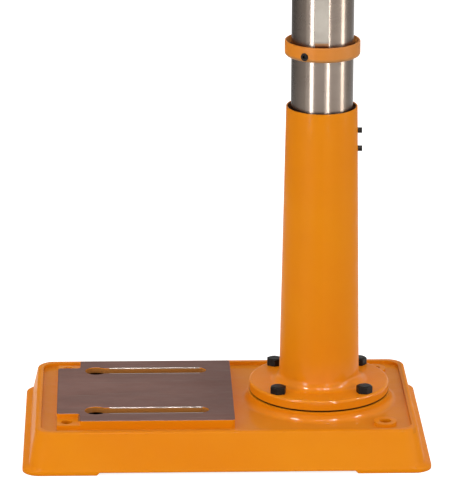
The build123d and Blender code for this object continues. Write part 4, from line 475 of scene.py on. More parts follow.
def collar_paint():
    """Enamel of the lower collar, rubbed dull, with a painted sheen strongest to the rear and a painted
    highlight along its lower edge.
    """
    graph = Graph("collar_paint")
    low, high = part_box("lower_collar")
    # Painted sheen, strongest to the rear, and a painted highlight along the lower edge
    rear_sheen = graph.remap(graph.axis("Y"), low.y, high.y, 0.02, 0.5)
    sheen_share = graph.remap(graph.axis("Z"), low.z + COLLAR_EDGE_LOW, low.z + COLLAR_EDGE_HIGH, 0.85, rear_sheen)
    tone = graph.mix(sheen_share, paint_colour(graph), COLLAR_SHEEN)
    # Painted shade in the mouth round the column
    graph.set(Base_Color=graph.mix(column_dirt(graph, COLLAR_MOUTH_R), tone, GAP_SHADE))
    graph.set(Roughness=paint_gloss(graph), Normal=paint_normal(graph))
    graph.set(Specular_IOR_Level=PAINT_SPECULAR, Coat_Weight=COAT_GLOSSY, Coat_Roughness=0.5)
    return graph.material


def slot_patch(graph, inner, outer, front, rear):
    """1 between two distances from the middle lines of the keyhole slots, from a front to a rear end."""
    side = graph.math("SUBTRACT", graph.math("ABSOLUTE", graph.axis("X")), SLOT_X)
    side = graph.math("ABSOLUTE", side)
    beyond = graph.remap(side, inner - EDGE_BLUR, inner)
    within = graph.remap(side, outer, outer + EDGE_BLUR, 1.0, 0.0)
    ahead = graph.remap(graph.axis("Y"), front - EDGE_BLUR, front)
    behind = graph.remap(graph.axis("Y"), rear, rear + EDGE_BLUR, 1.0, 0.0)
    return graph.times(beyond, within, ahead, behind)


def inside_span(graph, axis, reach):
    """1 within a distance from the middle along an axis."""
    return graph.remap(graph.math("ABSOLUTE", graph.axis(axis)), reach, reach + EDGE_BLUR, 1.0, 0.0)


def under(graph, z):
    """1 under a height."""
    return graph.remap(graph.axis("Z"), z - LEVEL_BLUR, z, 1.0, 0.0)


def over(graph, z):
    """1 over a height."""
    return graph.remap(graph.axis("Z"), z - LEVEL_BLUR, z)


def bare_patch(graph, edges):
    """1 on top of the pad, and on the edges of its slots, where the iron is bare."""
    worn = graph.times(edges, over(graph, PAD_Z - SLOT_EDGE_DROP))
    high = graph.math("MAXIMUM", worn, over(graph, PAD_Z - PAD_TOP_DROP))
    return graph.times(high, graph.remap(graph.axis("Y"), PAD_REAR_Y, PAD_REAR_Y + LEVEL_BLUR, 1.0, 0.0))


def pad_iron(graph, edges, scratches):
    """Iron of the pad, darker towards the rear, scratched, and rubbed bare on the edges of the slots,
    where it is painted bright as a highlight.
    """
    stains = graph.noise(13.0, 4.0, 0.6, graph.stretch(1.0, 0.5, 1.0))
    iron = graph.mix(graph.remap(stains, 0.3, 0.75), PAD_IRON, PAD_IRON_DARK)
    # Darker towards the rear
    recoloured = graph.remap(graph.axis("Y"), PAD_REAR_Y - PAD_REAR_REACH, PAD_REAR_Y, 0.0, 0.7)
    iron = graph.mix(recoloured, iron, PAD_REAR_TONE)
    iron = graph.mix(graph.remap(scratches, 0.62, 0.8, 0.0, 0.35), iron, STEEL)
    # Slot edges: worn bare, with a painted highlight
    return graph.mix(edges, iron, WORN_HIGHLIGHT_STEEL)


def recess_paint(graph, inside):
    """Enamel of the base, with dust and painted shade on the floor of the recess, and painted shade in its
    rear corner.
    """
    hollow = graph.remap(graph.axis("Z"), RECESS_Z + DUST_SHADE_LOW, RECESS_Z + DUST_SHADE_HIGH, 1.0, 0.0)
    # Dust and painted shade on the level floor of the recess
    dust_and_shade = graph.times(hollow, inside, graph.facing_up())
    tone = graph.mix(dust_and_shade, paint_colour(graph), ORANGE_DUST_AND_SHADE)
    # Painted shade along the recess's rear wall, stronger towards the operator's left
    corner = graph.remap(graph.axis("Y"), RECESS_Y - CORNER_START, RECESS_Y - CORNER_FULL)
    faint = graph.remap(graph.axis("X"), -RECESS_X, RECESS_X, 0.65, 0.15)
    low = graph.remap(graph.axis("Z"), RECESS_Z + CORNER_LOW, RECESS_Z + CORNER_HIGH, 1.0, 0.0)
    past = inside_span(graph, "Y", RECESS_Y + CORNER_PAST)
    return graph.mix(graph.times(corner, faint, inside, low, past), tone, CORNER_SHADE)


def slot_dirt(graph, tone):
    """The tone, with painted shade: brown on the walls of the slots and black in the pockets below them.
    """
    around = slot_patch(graph, 0.0, SLOT_REACH, SLOT_FRONT_Y - SLOT_MARGIN, SLOT_REAR_Y + SLOT_MARGIN)
    # Painted shade: brown on the slot walls, black in the pockets
    tone = graph.mix(graph.times(around, under(graph, PAD_Z - SLOT_EDGE_DROP)), tone, SLOT_SHADE)
    return graph.mix(graph.times(around, under(graph, LEDGE_Z)), tone, POCKET_SHADE)


def base_paint():
    """The same enamel, glossy in the recess, with bare machined iron on top of the pad."""
    graph = Graph("base_paint")
    inner, outer = SLOT_HALF - SLOT_EDGE_IN, SLOT_HALF + SLOT_EDGE_OUT
    edges = slot_patch(graph, inner, outer, KEYHOLE_REAR_Y, SLOT_END_Y)
    bare = bare_patch(graph, edges)
    inside = graph.remap(graph.axis("Z"), RECESS_Z - 2 * EDGE_BLUR, RECESS_Z - EDGE_BLUR)
    scratches = graph.noise(400.0, 2.0, 0.5, graph.stretch(1.0, 0.03, 1.0))
    tone = slot_dirt(graph, recess_paint(graph, inside))
    graph.set(Base_Color=graph.mix(bare, tone, pad_iron(graph, edges, scratches)))
    sweeps = graph.noise(30.0, 6.0, 0.65, graph.stretch(1.0, 0.3, 1.0))
    iron_gloss = graph.between(edges, graph.spread(sweeps, 0.4, 0.55), 0.12)
    graph.set(Roughness=graph.between(bare, paint_gloss(graph), iron_gloss))
    graph.set(Metallic=graph.times(bare, 0.75))
    glossy = graph.times(inside, inside_span(graph, "X", RECESS_X), inside_span(graph, "Y", RECESS_Y))
    coat = graph.between(glossy, COAT_DULL, COAT_GLOSSY)
    graph.set(Coat_Weight=graph.between(bare, coat, 0.0), Coat_Roughness=COAT_ROUGHNESS)
    marks = graph.bump(scratches, 0.00003, paint_normal(graph, 0.0022))
    graph.set(Normal=marks, Specular_IOR_Level=PAINT_SPECULAR)
    return graph.material


def ground_steel():
    """Steel ground round an upright axis, which draws lights out along it."""
    graph = Graph("ground_steel")
    rings = graph.noise(900.0, 2.0, 0.6, graph.stretch(0.02, 0.02, 1.0))
    clouds = graph.noise(14.0, 4.0, 0.6)
    tone = graph.remap(graph.math("ADD", graph.times(rings, 0.5), clouds), 0.45, 1.05)
    steel = graph.mix(tone, COLUMN_STEEL, COLUMN_STEEL_DARK)
    graph.set(Base_Color=steel, Metallic=1.0, Anisotropic=0.9, Anisotropic_Rotation=0.25)
    graph.set(Roughness=graph.spread(clouds, 0.24, 0.29))
    around = graph.add("ShaderNodeTangent", direction_type="RADIAL", axis="Z")
    graph.set(Tangent=around.outputs[0], Normal=graph.bump(rings, 0.00002, graph.soft_edges(0.0006)))
    return graph.material


def milled_steel(name, reflection_z=None):
    """Bright machined steel with fine marks, with a painted reflection below a height where one is given.
    """
    graph = Graph(name)
    marks = graph.noise(700.0, 3.0, 0.6, graph.stretch(0.08, 0.08, 1.0))
    clouds = graph.noise(25.0, 4.0, 0.6)
    tone = graph.mix(graph.spread(clouds, 0.0, 1.0), STEEL, STEEL_DARK)
    if reflection_z is not None:
        # Painted reflection below the height
        recoloured = graph.remap(graph.axis("Z"), reflection_z - EDGE_BLUR, reflection_z, 0.9, 0.0)
        tone = graph.mix(recoloured, tone, RACK_REFLECTION)
    graph.set(Base_Color=tone, Metallic=1.0)
    graph.set(Roughness=graph.spread(marks, 0.28, 0.42))
    graph.set(Normal=graph.bump(marks, 0.00003, graph.soft_edges(0.0006)))
    return graph.material


def black_oxide(name, tone, worn_tone, metal, shine):
    """Blackened steel of the screws and the chuck, rubbed lighter in places."""
    graph = Graph(name)
    specks = graph.cells(900.0)
    worn = graph.remap(graph.noise(320.0, 4.0, 0.7), 0.56, 0.72, 0.0, 0.7)
    graph.set(Base_Color=graph.mix(worn, tone, worn_tone), Metallic=metal, Specular_IOR_Level=shine)
    graph.set(Roughness=graph.remap(specks, 0.0, 0.8, 0.5, 0.34))
    graph.set(Normal=graph.bump(specks, 0.00012, graph.soft_edges(0.0008)))
    return graph.material


def ground_iron():
    """Cast-iron table with turning marks round its own axis on the machined top."""
    graph = Graph("ground_iron")
    shift = graph.add("ShaderNodeVectorMath", operation="SUBTRACT")
    graph.put(shift.inputs[0], graph.place)
    shift.inputs[1].default_value = TABLE_AXIS
    rings = graph.add("ShaderNodeTexWave", wave_type="RINGS", rings_direction="Z")
    graph.put(rings.inputs["Vector"], shift.outputs[0])
    rings.inputs["Scale"].default_value = 160.0
    rings.inputs["Distortion"].default_value = 0.6
    cut = TABLE_HIGH.z - TABLE_CUT
    top = graph.remap(graph.axis("Z"), cut - TABLE_CUT_FADE, cut)
    grain = graph.noise(500.0, 4.0, 0.65)
    stains = graph.remap(graph.noise(16.0, 5.0, 0.6), 0.35, 0.72)
    bright = graph.mix(stains, TABLE_TURNED, TABLE_STAINED)
    graph.set(Base_Color=graph.mix(top, TABLE_CAST, bright), Metallic=0.9)
    graph.set(Roughness=graph.spread(grain, 0.52, 0.64))
    marks = graph.times(rings.outputs["Fac"], top)
    rough = graph.bump(graph.noise(260.0, 4.0, 0.6), 0.0001, graph.soft_edges(0.001))
    graph.set(Normal=graph.bump(marks, 0.00002, rough))
    return graph.material


def plated_steel():
    """Bright plating of levers, handles and small screws, a little hazy."""
    graph = Graph("plated_steel")
    haze = graph.noise(40.0, 4.0, 0.6)
    graph.set(Base_Color=graph.mix(haze, PLATED, PLATED_DULL), Metallic=1.0)
    graph.set(Roughness=graph.spread(haze, 0.2, 0.3), Normal=graph.soft_edges(0.001))
    return graph.material


def black_plastic():
    """Moulded black plastic with a fine grain and scuffs."""
    graph = Graph("black_plastic")
    grain = graph.cells(1400.0)
    scuffs = graph.noise(50.0, 5.0, 0.65)
    graph.set(Base_Color=graph.mix(scuffs, PLASTIC, PLASTIC_SCUFFED))
    graph.set(Roughness=graph.spread(scuffs, 0.22, 0.38))
    graph.set(Normal=graph.bump(grain, 0.00003, graph.soft_edges(0.0008)))
    return graph.material


def satin_aluminium(name, tone):
    """Turned aluminium of a lightness from 0 to 255."""
    graph = Graph(name)
    turning = graph.noise(1200.0, 2.0, 0.6, graph.stretch(0.03, 0.03, 1.0))
    clouds = graph.noise(30.0, 4.0, 0.6)
    bright = colour(tone, tone, tone + 3)
    dull = colour(tone - 22, tone - 22, tone - 18)
    graph.set(Base_Color=graph.mix(clouds, bright, dull), Metallic=1.0)
    graph.set(Roughness=graph.spread(turning, 0.3, 0.44))
    graph.set(Normal=graph.bump(turning, 0.00003, graph.soft_edges(0.0006)))
    return graph.material


def blued_spring():
    """Spring steel with the blue and straw of its tempering."""
    graph = Graph("blued_spring")
    heat = graph.noise(45.0, 3.0, 0.6)
    graph.set(Base_Color=graph.mix(heat, SPRING_BLUE, SPRING_STRAW), Metallic=1.0)
    graph.set(Roughness=graph.spread(heat, 0.22, 0.34), Normal=graph.soft_edges(0.0003))
    return graph.material


def black_enamel():
    """Satin black enamel of the motor and the spring's case, with a fine hammered skin."""
    graph = Graph("black_enamel")
    skin = graph.noise(240.0, 3.0, 0.5)
    dust = graph.remap(graph.noise(18.0, 5.0, 0.6), 0.4, 0.75)
    graph.set(Base_Color=graph.mix(dust, MOTOR_BLACK, MOTOR_DUSTY))
    graph.set(Roughness=graph.spread(skin, 0.34, 0.5))
    graph.set(Normal=graph.bump(skin, 0.0002, graph.soft_edges(0.001)))
    return graph.material


def belt_rubber():
    """Rubber of the belts, with the weave of its cloth."""
    graph = Graph("belt_rubber")
    cloth = graph.cells(1100.0)
    wear = graph.noise(60.0, 4.0, 0.6)
    graph.set(Base_Color=graph.mix(wear, RUBBER, RUBBER_WORN))
    graph.set(Roughness=graph.spread(wear, 0.62, 0.8))
    graph.set(Normal=graph.bump(cloth, 0.0001, graph.soft_edges(0.0006)))
    return graph.material


def laminations(name, light, dark):
    """Stacked sheets of a motor core, seen as fine bands along its axis."""
    graph = Graph(name)
    bands = graph.noise(1500.0, 1.0, 0.5, graph.stretch(0.001, 0.001, 1.0))
    graph.set(Base_Color=graph.mix(bands, light, dark), Metallic=0.8)
    graph.set(Roughness=graph.spread(bands, 0.4, 0.6), Normal=graph.bump(bands, 0.0001))
    return graph.material


def moulded_button(name, light, dark):
    """Glossy coloured plastic, scuffed."""
    graph = Graph(name)
    scuffs = graph.noise(120.0, 4.0, 0.6)
    graph.set(Base_Color=graph.mix(scuffs, light, dark), Coat_Weight=0.2, Coat_Roughness=0.08)
    graph.set(Roughness=graph.spread(scuffs, 0.25, 0.4), Normal=graph.soft_edges(0.001))
    return graph.material


def printed_mark(name, tone):
    """Paint of small marks and figures."""
    graph = Graph(name)
    wear = graph.noise(800.0, 3.0, 0.6)
    worn = tuple(value * 0.8 for value in tone)
    graph.set(Base_Color=graph.mix(graph.remap(wear, 0.4, 0.7), tone, worn), Roughness=0.5)
    return graph.material


MATERIALS = {
    "orange_paint": enamel("orange_paint"),
    "polished_steel": milled_steel("polished_steel"),
    "bearing_steel": milled_steel("bearing_steel"),
    "black_oxide": black_oxide("black_oxide", OXIDE, OXIDE_WORN, 0.3, 0.15),
    "ground_iron": ground_iron(),
    "plated_steel": plated_steel(),
    "black_plastic": black_plastic(),
    "dial_aluminium": satin_aluminium("dial_aluminium", 206),
    "spring_steel": blued_spring(),
    "cover_black": black_enamel(),
    "pulley_aluminium": satin_aluminium("pulley_aluminium", 196),
    "belt_rubber": belt_rubber(),
    "stator_core": laminations("stator_core", STATOR, STATOR_DARK),
    "rotor_core": laminations("rotor_core", ROTOR, ROTOR_DARK),
    "green_button": moulded_button("green_button", GREEN, GREEN_DARK),
    "red_button": moulded_button("red_button", RED, RED_DARK),
}
CHUCK_STEEL = black_oxide("chuck_oxide", CHUCK_DARK, CHUCK_WORN, 0.9, 0.5)
BLACK_MARK = printed_mark("black_mark", MARK_BLACK)
WHITE_MARK = printed_mark("white_mark", MARK_WHITE)
OWN_MATERIALS = {
    "base_casting": base_paint(),
    "pedestal": enamel(
        "pedestal_paint", COAT_DULL, JOINT_Z, FLANGE_TOP_Z + FLANGE_FILLET, PEDESTAL_MOUTH_R),
    "lower_collar": collar_paint(),
    "guard_pan": enamel("guard_paint", joint_z=GUARD_JOINT_Z),
    "guard_lid": enamel("lid_paint", joint_z=GUARD_JOINT_Z),
    "column_tube": ground_steel(),
    "table_rack": milled_steel("rack_steel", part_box("lower_collar")[1].z + RACK_REFLECTION_RISE),
    **dict.fromkeys(CHUCK_NODES, CHUCK_STEEL),
}


def dress_solids():
    """Gives each solid the material of its slot, or its own."""
    slots = {entry["node"]: entry["material_slot"] for entry in frame["record"]["subparts"]}
    for name, solid in nodes.items():
        material = OWN_MATERIALS.get(name) or MATERIALS[slots[name]]
        solid.data.materials.clear()
        solid.data.materials.append(material)


# Small pieces that only the looks need

def make_piece(name, shape, material, body):
    """Object from a mesh in the making, which rides a body and takes the material it is given."""
    bmesh.ops.recalc_face_normals(shape, faces=shape.faces)
    mesh = bpy.data.meshes.new(name)
    shape.to_mesh(mesh)
    shape.free()
    mesh.materials.append(material)
    piece = bpy.data.objects.new(name, mesh)
    bpy.context.scene.collection.objects.link(piece)
    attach(piece, body)


def turned_to(place, right, up):
    """Matrix to a place, with X to the right, Y up and Z out of the surface."""
    right, up = Vector(right), Vector(up)
    return Matrix.Translation(place) @ Matrix((right, up, right.cross(up))).transposed().to_4x4()


def join_rows(shape, rows):
    """Faces between neighbouring rows of points, each of which goes round."""
    for before, after in zip(rows, rows[1:]):
        for here in range(len(before)):
            ahead = (here + 1) % len(before)
            shape.faces.new((before[here], before[ahead], after[ahead], after[here]))


def close_rows(shape, rows):
    """Faces between neighbouring rows of points, and over both ends."""
    join_rows(shape, rows)
    shape.faces.new(rows[0])
    shape.faces.new(rows[-1])


def add_tick(shape, spot, width, length):
    """Short raised line, sunk a little into the surface."""
    size = Matrix.Diagonal((width, length, 2 * MARK_RISE, 1.0))
    bmesh.ops.create_cube(shape, size=1.0, matrix=spot @ size)


def add_figures(shape, spot, text, height):
    """Raised figures, sunk a little into the surface."""
    curve = bpy.data.curves.new("figures", "FONT")
    curve.body = text
    curve.size = height
    curve.extrude = MARK_RISE
    curve.align_x = "CENTER"
    curve.align_y = "CENTER"
    holder = bpy.data.objects.new("figures", curve)
    mesh = bpy.data.meshes.new_from_object(holder)
    mesh.transform(spot)
    shape.from_mesh(mesh)
    bpy.data.meshes.remove(mesh)
    bpy.data.objects.remove(holder)
    bpy.data.curves.remove(curve)


def add_arrow(shape, spot, width, length):
    """Raised arrow head that points up."""
    corners = ((-width / 2, 0), (width / 2, 0), (0, length))
    rows = []
    for level in (-MARK_RISE, MARK_RISE):
        rows.append([shape.verts.new(spot @ Vector((x, y, level))) for x, y in corners])
    close_rows(shape, rows)


def depth_spot(angle, x, radius):
    """Place on the feed shaft's round pieces, by the angle from the top towards the front."""
    low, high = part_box("depth_ring")
    out = Vector((0, -math.sin(angle), math.cos(angle)))
    middle = (low + high) / 2
    place = Vector((x, middle.y, middle.z)) + radius * out
    return turned_to(place, (0, -math.cos(angle), -math.sin(angle)), (1, 0, 0))


def depth_scale():
    """Millimetre marks and figures round the depth ring, and the arrow beside it on the head."""
    low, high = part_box("depth_ring")
    radius = (high.z - low.z) / 2
    marks = bmesh.new()
    for depth in range(0, DEPTH_TRAVEL + 1, DEPTH_STEP):
        angle = DEPTH_ZERO - depth * DEPTH_ANGLE
        main = depth % DEPTH_MAIN == 0
        length = DEPTH_LONG if main else DEPTH_SHORT
        add_tick(marks, depth_spot(angle, low.x + DEPTH_EDGE + length / 2, radius), DEPTH_LINE, length)
        if main:
            spot = depth_spot(angle, high.x - DEPTH_FIGURE_EDGE, radius)
            add_figures(marks, spot, str(depth), DEPTH_FIGURE)
    make_piece("depth_marks", marks, BLACK_MARK, "depth")
    arrow = bmesh.new()
    add_arrow(arrow, depth_spot(DEPTH_ZERO, low.x - DEPTH_ARROW_GAP, FEED_BOSS_R), *DEPTH_ARROW)
    make_piece("depth_arrow", arrow, BLACK_MARK, "frame")


def tilt_spot(angle, y):
    """Place on the round tilt joint, by the angle from the top towards the operator's right."""
    out = Vector((math.sin(angle), 0, math.cos(angle)))
    place = Vector((0, y, TILT_Z)) + TILT_R * out
    return turned_to(place, (math.cos(angle), 0, -math.sin(angle)), (0, 1, 0))


def tilt_scale():
    """Degree marks and figures on the bracket's boss, and the arrow on the table's arm."""
    marks = bmesh.new()
    for degrees in range(-TILT_REACH, TILT_REACH + 1, TILT_STEP):
        angle = math.radians(degrees)
        main = degrees % TILT_MAIN == 0
        length = TILT_LONG if main else TILT_SHORT
        add_tick(marks, tilt_spot(angle, TILT_JOINT_Y + TILT_EDGE + length / 2), TILT_LINE, length)
        if main:
            spot = tilt_spot(angle, TILT_JOINT_Y + TILT_FIGURE_EDGE)
            add_figures(marks, spot, str(abs(degrees)), TILT_FIGURE)
    make_piece("tilt_marks", marks, BLACK_MARK, "bracket")
    arrow = bmesh.new()
    add_arrow(arrow, tilt_spot(0.0, TILT_JOINT_Y - TILT_ARROW_GAP), *TILT_ARROW)
    make_piece("tilt_arrow", arrow, BLACK_MARK, "arm")


def button_spot(name):
    """Middle of the front of a button."""
    low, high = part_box(name)
    middle = (low + high) / 2
    return turned_to((middle.x, low.y, middle.z), (1, 0, 0), (0, 0, 1))


def button_marks():
    """On and off marks on the two buttons: a bar and a ring."""
    bar = bmesh.new()
    add_tick(bar, button_spot("start_button"), BAR_WIDTH, BAR_LENGTH)
    make_piece("start_mark", bar, WHITE_MARK, "start")
    spot = button_spot("stop_button")
    ways = (
        (RING_INNER_R, -MARK_RISE), (RING_INNER_R, MARK_RISE),
        (RING_OUTER_R, MARK_RISE), (RING_OUTER_R, -MARK_RISE))
    ring = bmesh.new()
    rows = []
    for step in range(RING_STEPS):
        angle = math.tau * step / RING_STEPS
        points = [(radius * math.cos(angle), radius * math.sin(angle), level) for radius, level in ways]
        rows.append([ring.verts.new(spot @ Vector(point)) for point in points])
    join_rows(ring, rows + rows[:1])
    make_piece("stop_mark", ring, WHITE_MARK, "stop")


def add_screw(shape, spot, radius, height):
    """Round-headed screw with a hexagon socket."""
    corner = radius * SOCKET_CORNER
    levels = (
        (radius, 0.0, False), (radius, SCREW_SHOULDER * height, False),
        (SCREW_CROWN * radius, height, False),
        (corner, height, True), (corner, SOCKET_FLOOR * height, True))
    rows = []
    for reach, level, hexagon in levels:
        row = []
        for step in range(SCREW_STEPS):
            angle = math.tau * step / SCREW_STEPS
            bend = (angle + math.pi / 6) % (math.pi / 3) - math.pi / 6
            way = reach * math.cos(math.pi / 6) / math.cos(bend) if hexagon else reach
            point = Vector((way * math.cos(angle), way * math.sin(angle), level))
            row.append(shape.verts.new(spot @ point))
        rows.append(row)
    close_rows(shape, rows)


def switch_screws():
    """Four screws in the corners of the switch box's front."""
    low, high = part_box("switch_box")
    foot = high.z - SWITCH_H
    screws = bmesh.new()
    for x in (low.x + SWITCH_INSET, high.x - SWITCH_INSET):
        for z in (foot + SWITCH_INSET, high.z - SWITCH_INSET):
            add_screw(screws, turned_to((x, low.y, z), (1, 0, 0), (0, 0, 1)), SCREW_R, SCREW_H)
    make_piece("switch_screws", screws, MATERIALS["plated_steel"], "frame")


def chuck_ridges():
    """Fine ridges round the chuck's sleeve, for a grip."""
    low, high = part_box("chuck_sleeve")
    middle = (low + high) / 2
    radius = (high.x - low.x) / 2
    root = radius - RIDGE_ROOT
    half = RIDGE_SHARE * math.tau / RIDGES
    foot, top = low.z + RIDGE_INSET, high.z - RIDGE_INSET
    levels = (
        (foot, radius), (foot + RIDGE_RUN, radius + RIDGE_RISE),
        (top - RIDGE_RUN, radius + RIDGE_RISE), (top, radius))
    ridges = bmesh.new()
    for number in range(RIDGES):
        angle = math.tau * number / RIDGES
        rows = []
        for z, crest in levels:
            ways = ((angle - half, root), (angle, crest), (angle + half, root))
            points = [(middle.x + r * math.cos(a), middle.y + r * math.sin(a), z) for a, r in ways]
            rows.append([ridges.verts.new(point) for point in points])
        close_rows(ridges, rows)
    make_piece("chuck_ridges", ridges, CHUCK_STEEL, "chuck_ring")


def add_details():
    depth_scale()
    tilt_scale()
    button_marks()
    switch_screws()
    chuck_ridges()


# Studio

def make_camera():
    """Camera where the photograph was taken from."""
    yaw_cos, yaw_sin = math.cos(CAMERA_YAW), math.sin(CAMERA_YAW)
    pitch_cos, pitch_sin = math.cos(CAMERA_PITCH), math.sin(CAMERA_PITCH)
    ahead = Vector((-pitch_cos * yaw_cos, -pitch_cos * yaw_sin, -pitch_sin))
    level = Vector((-yaw_sin, yaw_cos, 0))
    above = level.cross(ahead)
    right = math.cos(CAMERA_ROLL) * level + math.sin(CAMERA_ROLL) * above
    up = math.cos(CAMERA_ROLL) * above - math.sin(CAMERA_ROLL) * level
    data = bpy.data.cameras.new("camera")
    data.lens = CAMERA_LENS
    data.sensor_width = SENSOR_WIDTH
    camera = bpy.data.objects.new("camera", data)
    turn = Matrix((right, up, -ahead)).transposed()
    camera.matrix_world = Matrix.Translation(CAMERA_PLACE) @ turn.to_4x4()
    bpy.context.scene.collection.objects.link(camera)
    bpy.context.scene.camera = camera


def make_lamp(name, place, target, size, power, tint=WHITE_LIGHT, mirrored=True):
    """Soft box at a place, turned to a target. It may be left out of mirror images."""
    data = bpy.data.lights.new(name, "AREA")
    data.shape = "RECTANGLE"
    data.size, data.size_y = size
    data.energy = power
    data.color = tint
    lamp = bpy.data.objects.new(name, data)
    lamp.location = place
    lamp.rotation_euler = (Vector(target) - Vector(place)).to_track_quat("-Z", "Y").to_euler()
    lamp.visible_camera = False
    lamp.visible_glossy = mirrored
    bpy.context.scene.collection.objects.link(lamp)
    return lamp


def make_gleam(name, place, target, size, power, tint=WHITE_LIGHT, spared=()):
    """Soft box that shows only as a gleam, on paint, plastic, dark metal, the column and its rack.
    Some pieces may be spared."""
    lamp = make_lamp(name, place, target, size, power, tint)
    lamp.visible_diffuse = False
    lit = bpy.data.collections.new(name)
    for entry in frame["record"]["subparts"]:
        shows = entry["material_slot"] not in BRIGHT_SLOTS or entry["node"] in STREAKED
        if shows and entry["node"] not in spared:
            lit.objects.link(nodes[entry["node"]])
    lamp.light_linking.receiver_collection = lit


def seen_rays(add, join):
    """1 for rays that show the background: straight to the camera, mirrored or through glass."""
    rays = add("ShaderNodeLightPath").outputs
    seen = rays["Is Camera Ray"]
    for name in ("Is Glossy Ray", "Is Transmission Ray"):
        both = add("ShaderNodeMath")
        both.operation = "MAXIMUM"
        join(seen, both.inputs[0])
        join(rays[name], both.inputs[1])
        seen = both.outputs[0]
    return seen


def make_world():
    """Sky that lights the object evenly, and shows white along the horizon and dimmer overhead."""
    world = bpy.data.worlds.new("studio")
    world.use_nodes = True
    bpy.context.scene.world = world
    add, join = world.node_tree.nodes.new, world.node_tree.links.new
    background = world.node_tree.nodes["Background"]
    place = add("ShaderNodeTexCoord")
    split = add("ShaderNodeSeparateXYZ")
    fade = add("ShaderNodeMapRange")
    strength = add("ShaderNodeMapRange")
    for socket, number in zip(fade.inputs[1:5], (SKY_FADE_START, SKY_FADE_END, 1.0, SKY_OVERHEAD)):
        socket.default_value = number
    strength.inputs["To Min"].default_value = SKY_LIGHT
    join(place.outputs["Generated"], split.inputs[0])
    join(split.outputs["Z"], fade.inputs[0])
    join(seen_rays(add, join), strength.inputs[0])
    join(fade.outputs[0], strength.inputs["To Max"])
    join(strength.outputs[0], background.inputs["Strength"])
    background.inputs["Color"].default_value = (1.0, 1.0, 1.0, 1.0)


def make_floor():
    """White floor that keeps a faint shadow, and is dark under the base."""
    mesh = bpy.data.meshes.new("floor")
    corners = [(x * FLOOR_REACH, y * FLOOR_REACH, 0) for x, y in ((-1, -1), (1, -1), (1, 1), (-1, 1))]
    mesh.from_pydata(corners, [], [(0, 1, 2, 3)])
    floor = bpy.data.objects.new("floor", mesh)
    floor.location.z = -FLOOR_DROP
    bpy.context.scene.collection.objects.link(floor)
    graph = Graph("floor_white")
    graph.set(Base_Color=(FLOOR_GREY, FLOOR_GREY, FLOOR_GREY, 1.0), Roughness=0.9, Specular_IOR_Level=0.1)
    seen = seen_rays(graph.add, graph.tree.links.new)
    spans = (("X", BASE_HIGH.x - COVERED_INSET), ("Y", BASE_HIGH.y - COVERED_INSET))
    covered = graph.times(*(inside_span(graph, axis, reach) for axis, reach in spans))
    white = graph.times(seen, graph.between(covered, FLOOR_LIGHT, 0.0))
    graph.set(Emission_Color=(1.0, 1.0, 1.0, 1.0), Emission_Strength=white)
    mesh.materials.append(graph.material)


def around_column(angle, distance, height):
    """Place beside the column, by the angle from the camera's side towards the rear."""
    turn = math.radians(angle) + CAMERA_BEARING
    return COLUMN_AXIS.x + distance * math.cos(turn), COLUMN_AXIS.y + distance * math.sin(turn), height


def make_strip(name, angle, width, power, tint=WHITE_LIGHT):
    """Tall strip light beside the column, for the streaks on it."""
    place = around_column(angle, STRIP_DISTANCE, STRIP_HEIGHT / 2)
    target = around_column(angle, 0.0, STRIP_HEIGHT / 2)
    make_gleam(name, place, target, (width, STRIP_HEIGHT), power, tint, ("base_casting",))


def make_box(name, angle, elevation, power):
    """Small soft box above, turned to the foot of the pedestal."""
    rise = math.radians(elevation)
    place = around_column(angle, BOX_DISTANCE * math.cos(rise), JOINT_Z + BOX_DISTANCE * math.sin(rise))
    make_gleam(name, place, around_column(0.0, 0.0, JOINT_Z), (BOX_SIZE, BOX_SIZE), power)


def make_fill(name, angle, power):
    """Large soft box beside the camera, left out of mirror images."""
    place = around_column(angle, FILL_DISTANCE, FILL_HEIGHT)
    make_lamp(name, place, (0.0, 0.0, FILL_TARGET_Z), (FILL_SIZE, FILL_SIZE), power, mirrored=False)


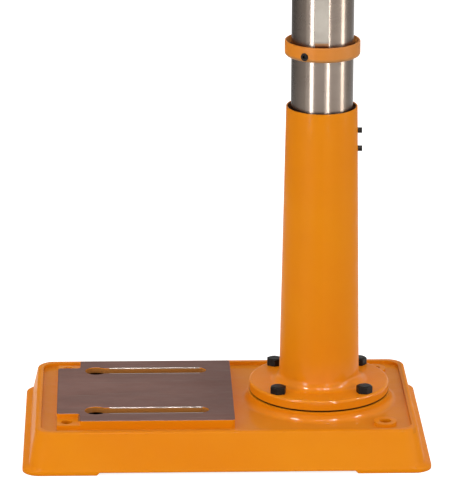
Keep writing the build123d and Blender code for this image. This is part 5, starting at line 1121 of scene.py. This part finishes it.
def flag_mesh(name, start, end):
    """Upright strip of faces round the column, between two angles. Its sheet runs from 0 to 1 along it."""
    shape = bmesh.new()
    sheet = shape.loops.layers.uv.new()
    rows = []
    for step in range(FLAG_STEPS + 1):
        angle = start + (end - start) * step / FLAG_STEPS
        places = [around_column(angle, FLAG_DISTANCE, height) for height in (0.0, FLAG_HEIGHT)]
        rows.append([shape.verts.new(place) for place in places])
    for step in range(FLAG_STEPS):
        before, after = rows[step], rows[step + 1]
        face = shape.faces.new((before[0], after[0], after[1], before[1]))
        for loop, edge in zip(face.loops, (step, step + 1, step + 1, step)):
            loop[sheet].uv = (edge / FLAG_STEPS, 0.5)
    mesh = bpy.data.meshes.new(name)
    shape.to_mesh(mesh)
    shape.free()
    return mesh


def flag_tones(name, tones):
    """Material that glows in tones at shares of a flag's width."""
    graph = Graph(name)
    ramp = graph.add("ShaderNodeValToRGB")
    stops = ramp.color_ramp.elements
    while len(stops) < len(tones):
        stops.new(0.5)
    for stop, (share, tone) in zip(stops, tones):
        stop.position = share
        stop.color = (tone, tone, tone, 1.0)
    split = graph.add("ShaderNodeSeparateXYZ")
    graph.put(split.inputs[0], graph.add("ShaderNodeTexCoord").outputs["UV"])
    graph.put(ramp.inputs[0], split.outputs["X"])
    graph.set(Base_Color=(0.0, 0.0, 0.0, 1.0), Roughness=1.0, Specular_IOR_Level=0.0)
    graph.set(Emission_Color=ramp.outputs[0], Emission_Strength=1.0)
    return graph.material


def make_flag(name, start, end, tones):
    """Graded dark panel beside the column, seen only in reflections."""
    mesh = flag_mesh(name, start, end)
    mesh.materials.append(flag_tones(name, tones))
    flag = bpy.data.objects.new(name, mesh)
    flag.visible_camera = False
    flag.visible_diffuse = False
    flag.visible_shadow = False
    flag.visible_transmission = False
    bpy.context.scene.collection.objects.link(flag)


def light_studio():
    make_world()
    make_floor()
    make_flag("left_flag", start=-62.0, end=-172.0, tones=LEFT_TONES)
    make_flag("right_flag", start=98.0, end=172.0, tones=RIGHT_TONES)
    make_strip("key", angle=-38.5, width=0.34, power=18.0, tint=COOL_LIGHT)
    make_strip("thin", angle=23.0, width=0.09, power=9.0)
    make_strip("cream", angle=79.0, width=0.42, power=12.0, tint=CREAM_LIGHT)
    make_box("left_box", angle=-54.0, elevation=58.0, power=300.0)
    make_box("middle_box", angle=31.0, elevation=60.0, power=300.0)
    make_box("right_box", angle=76.0, elevation=42.0, power=230.0)
    make_lamp("slot_box", (2.75, -0.1, 5.675), (0.0, -0.1, 0.05), size=(0.55, 1.25), power=50.0)
    make_fill("left_fill", angle=-50.0, power=26.0)
    make_fill("right_fill", angle=50.0, power=22.0)


bpy.context.scene.view_settings.view_transform = "Standard"
dress_solids()
add_details()
make_camera()
light_studio()
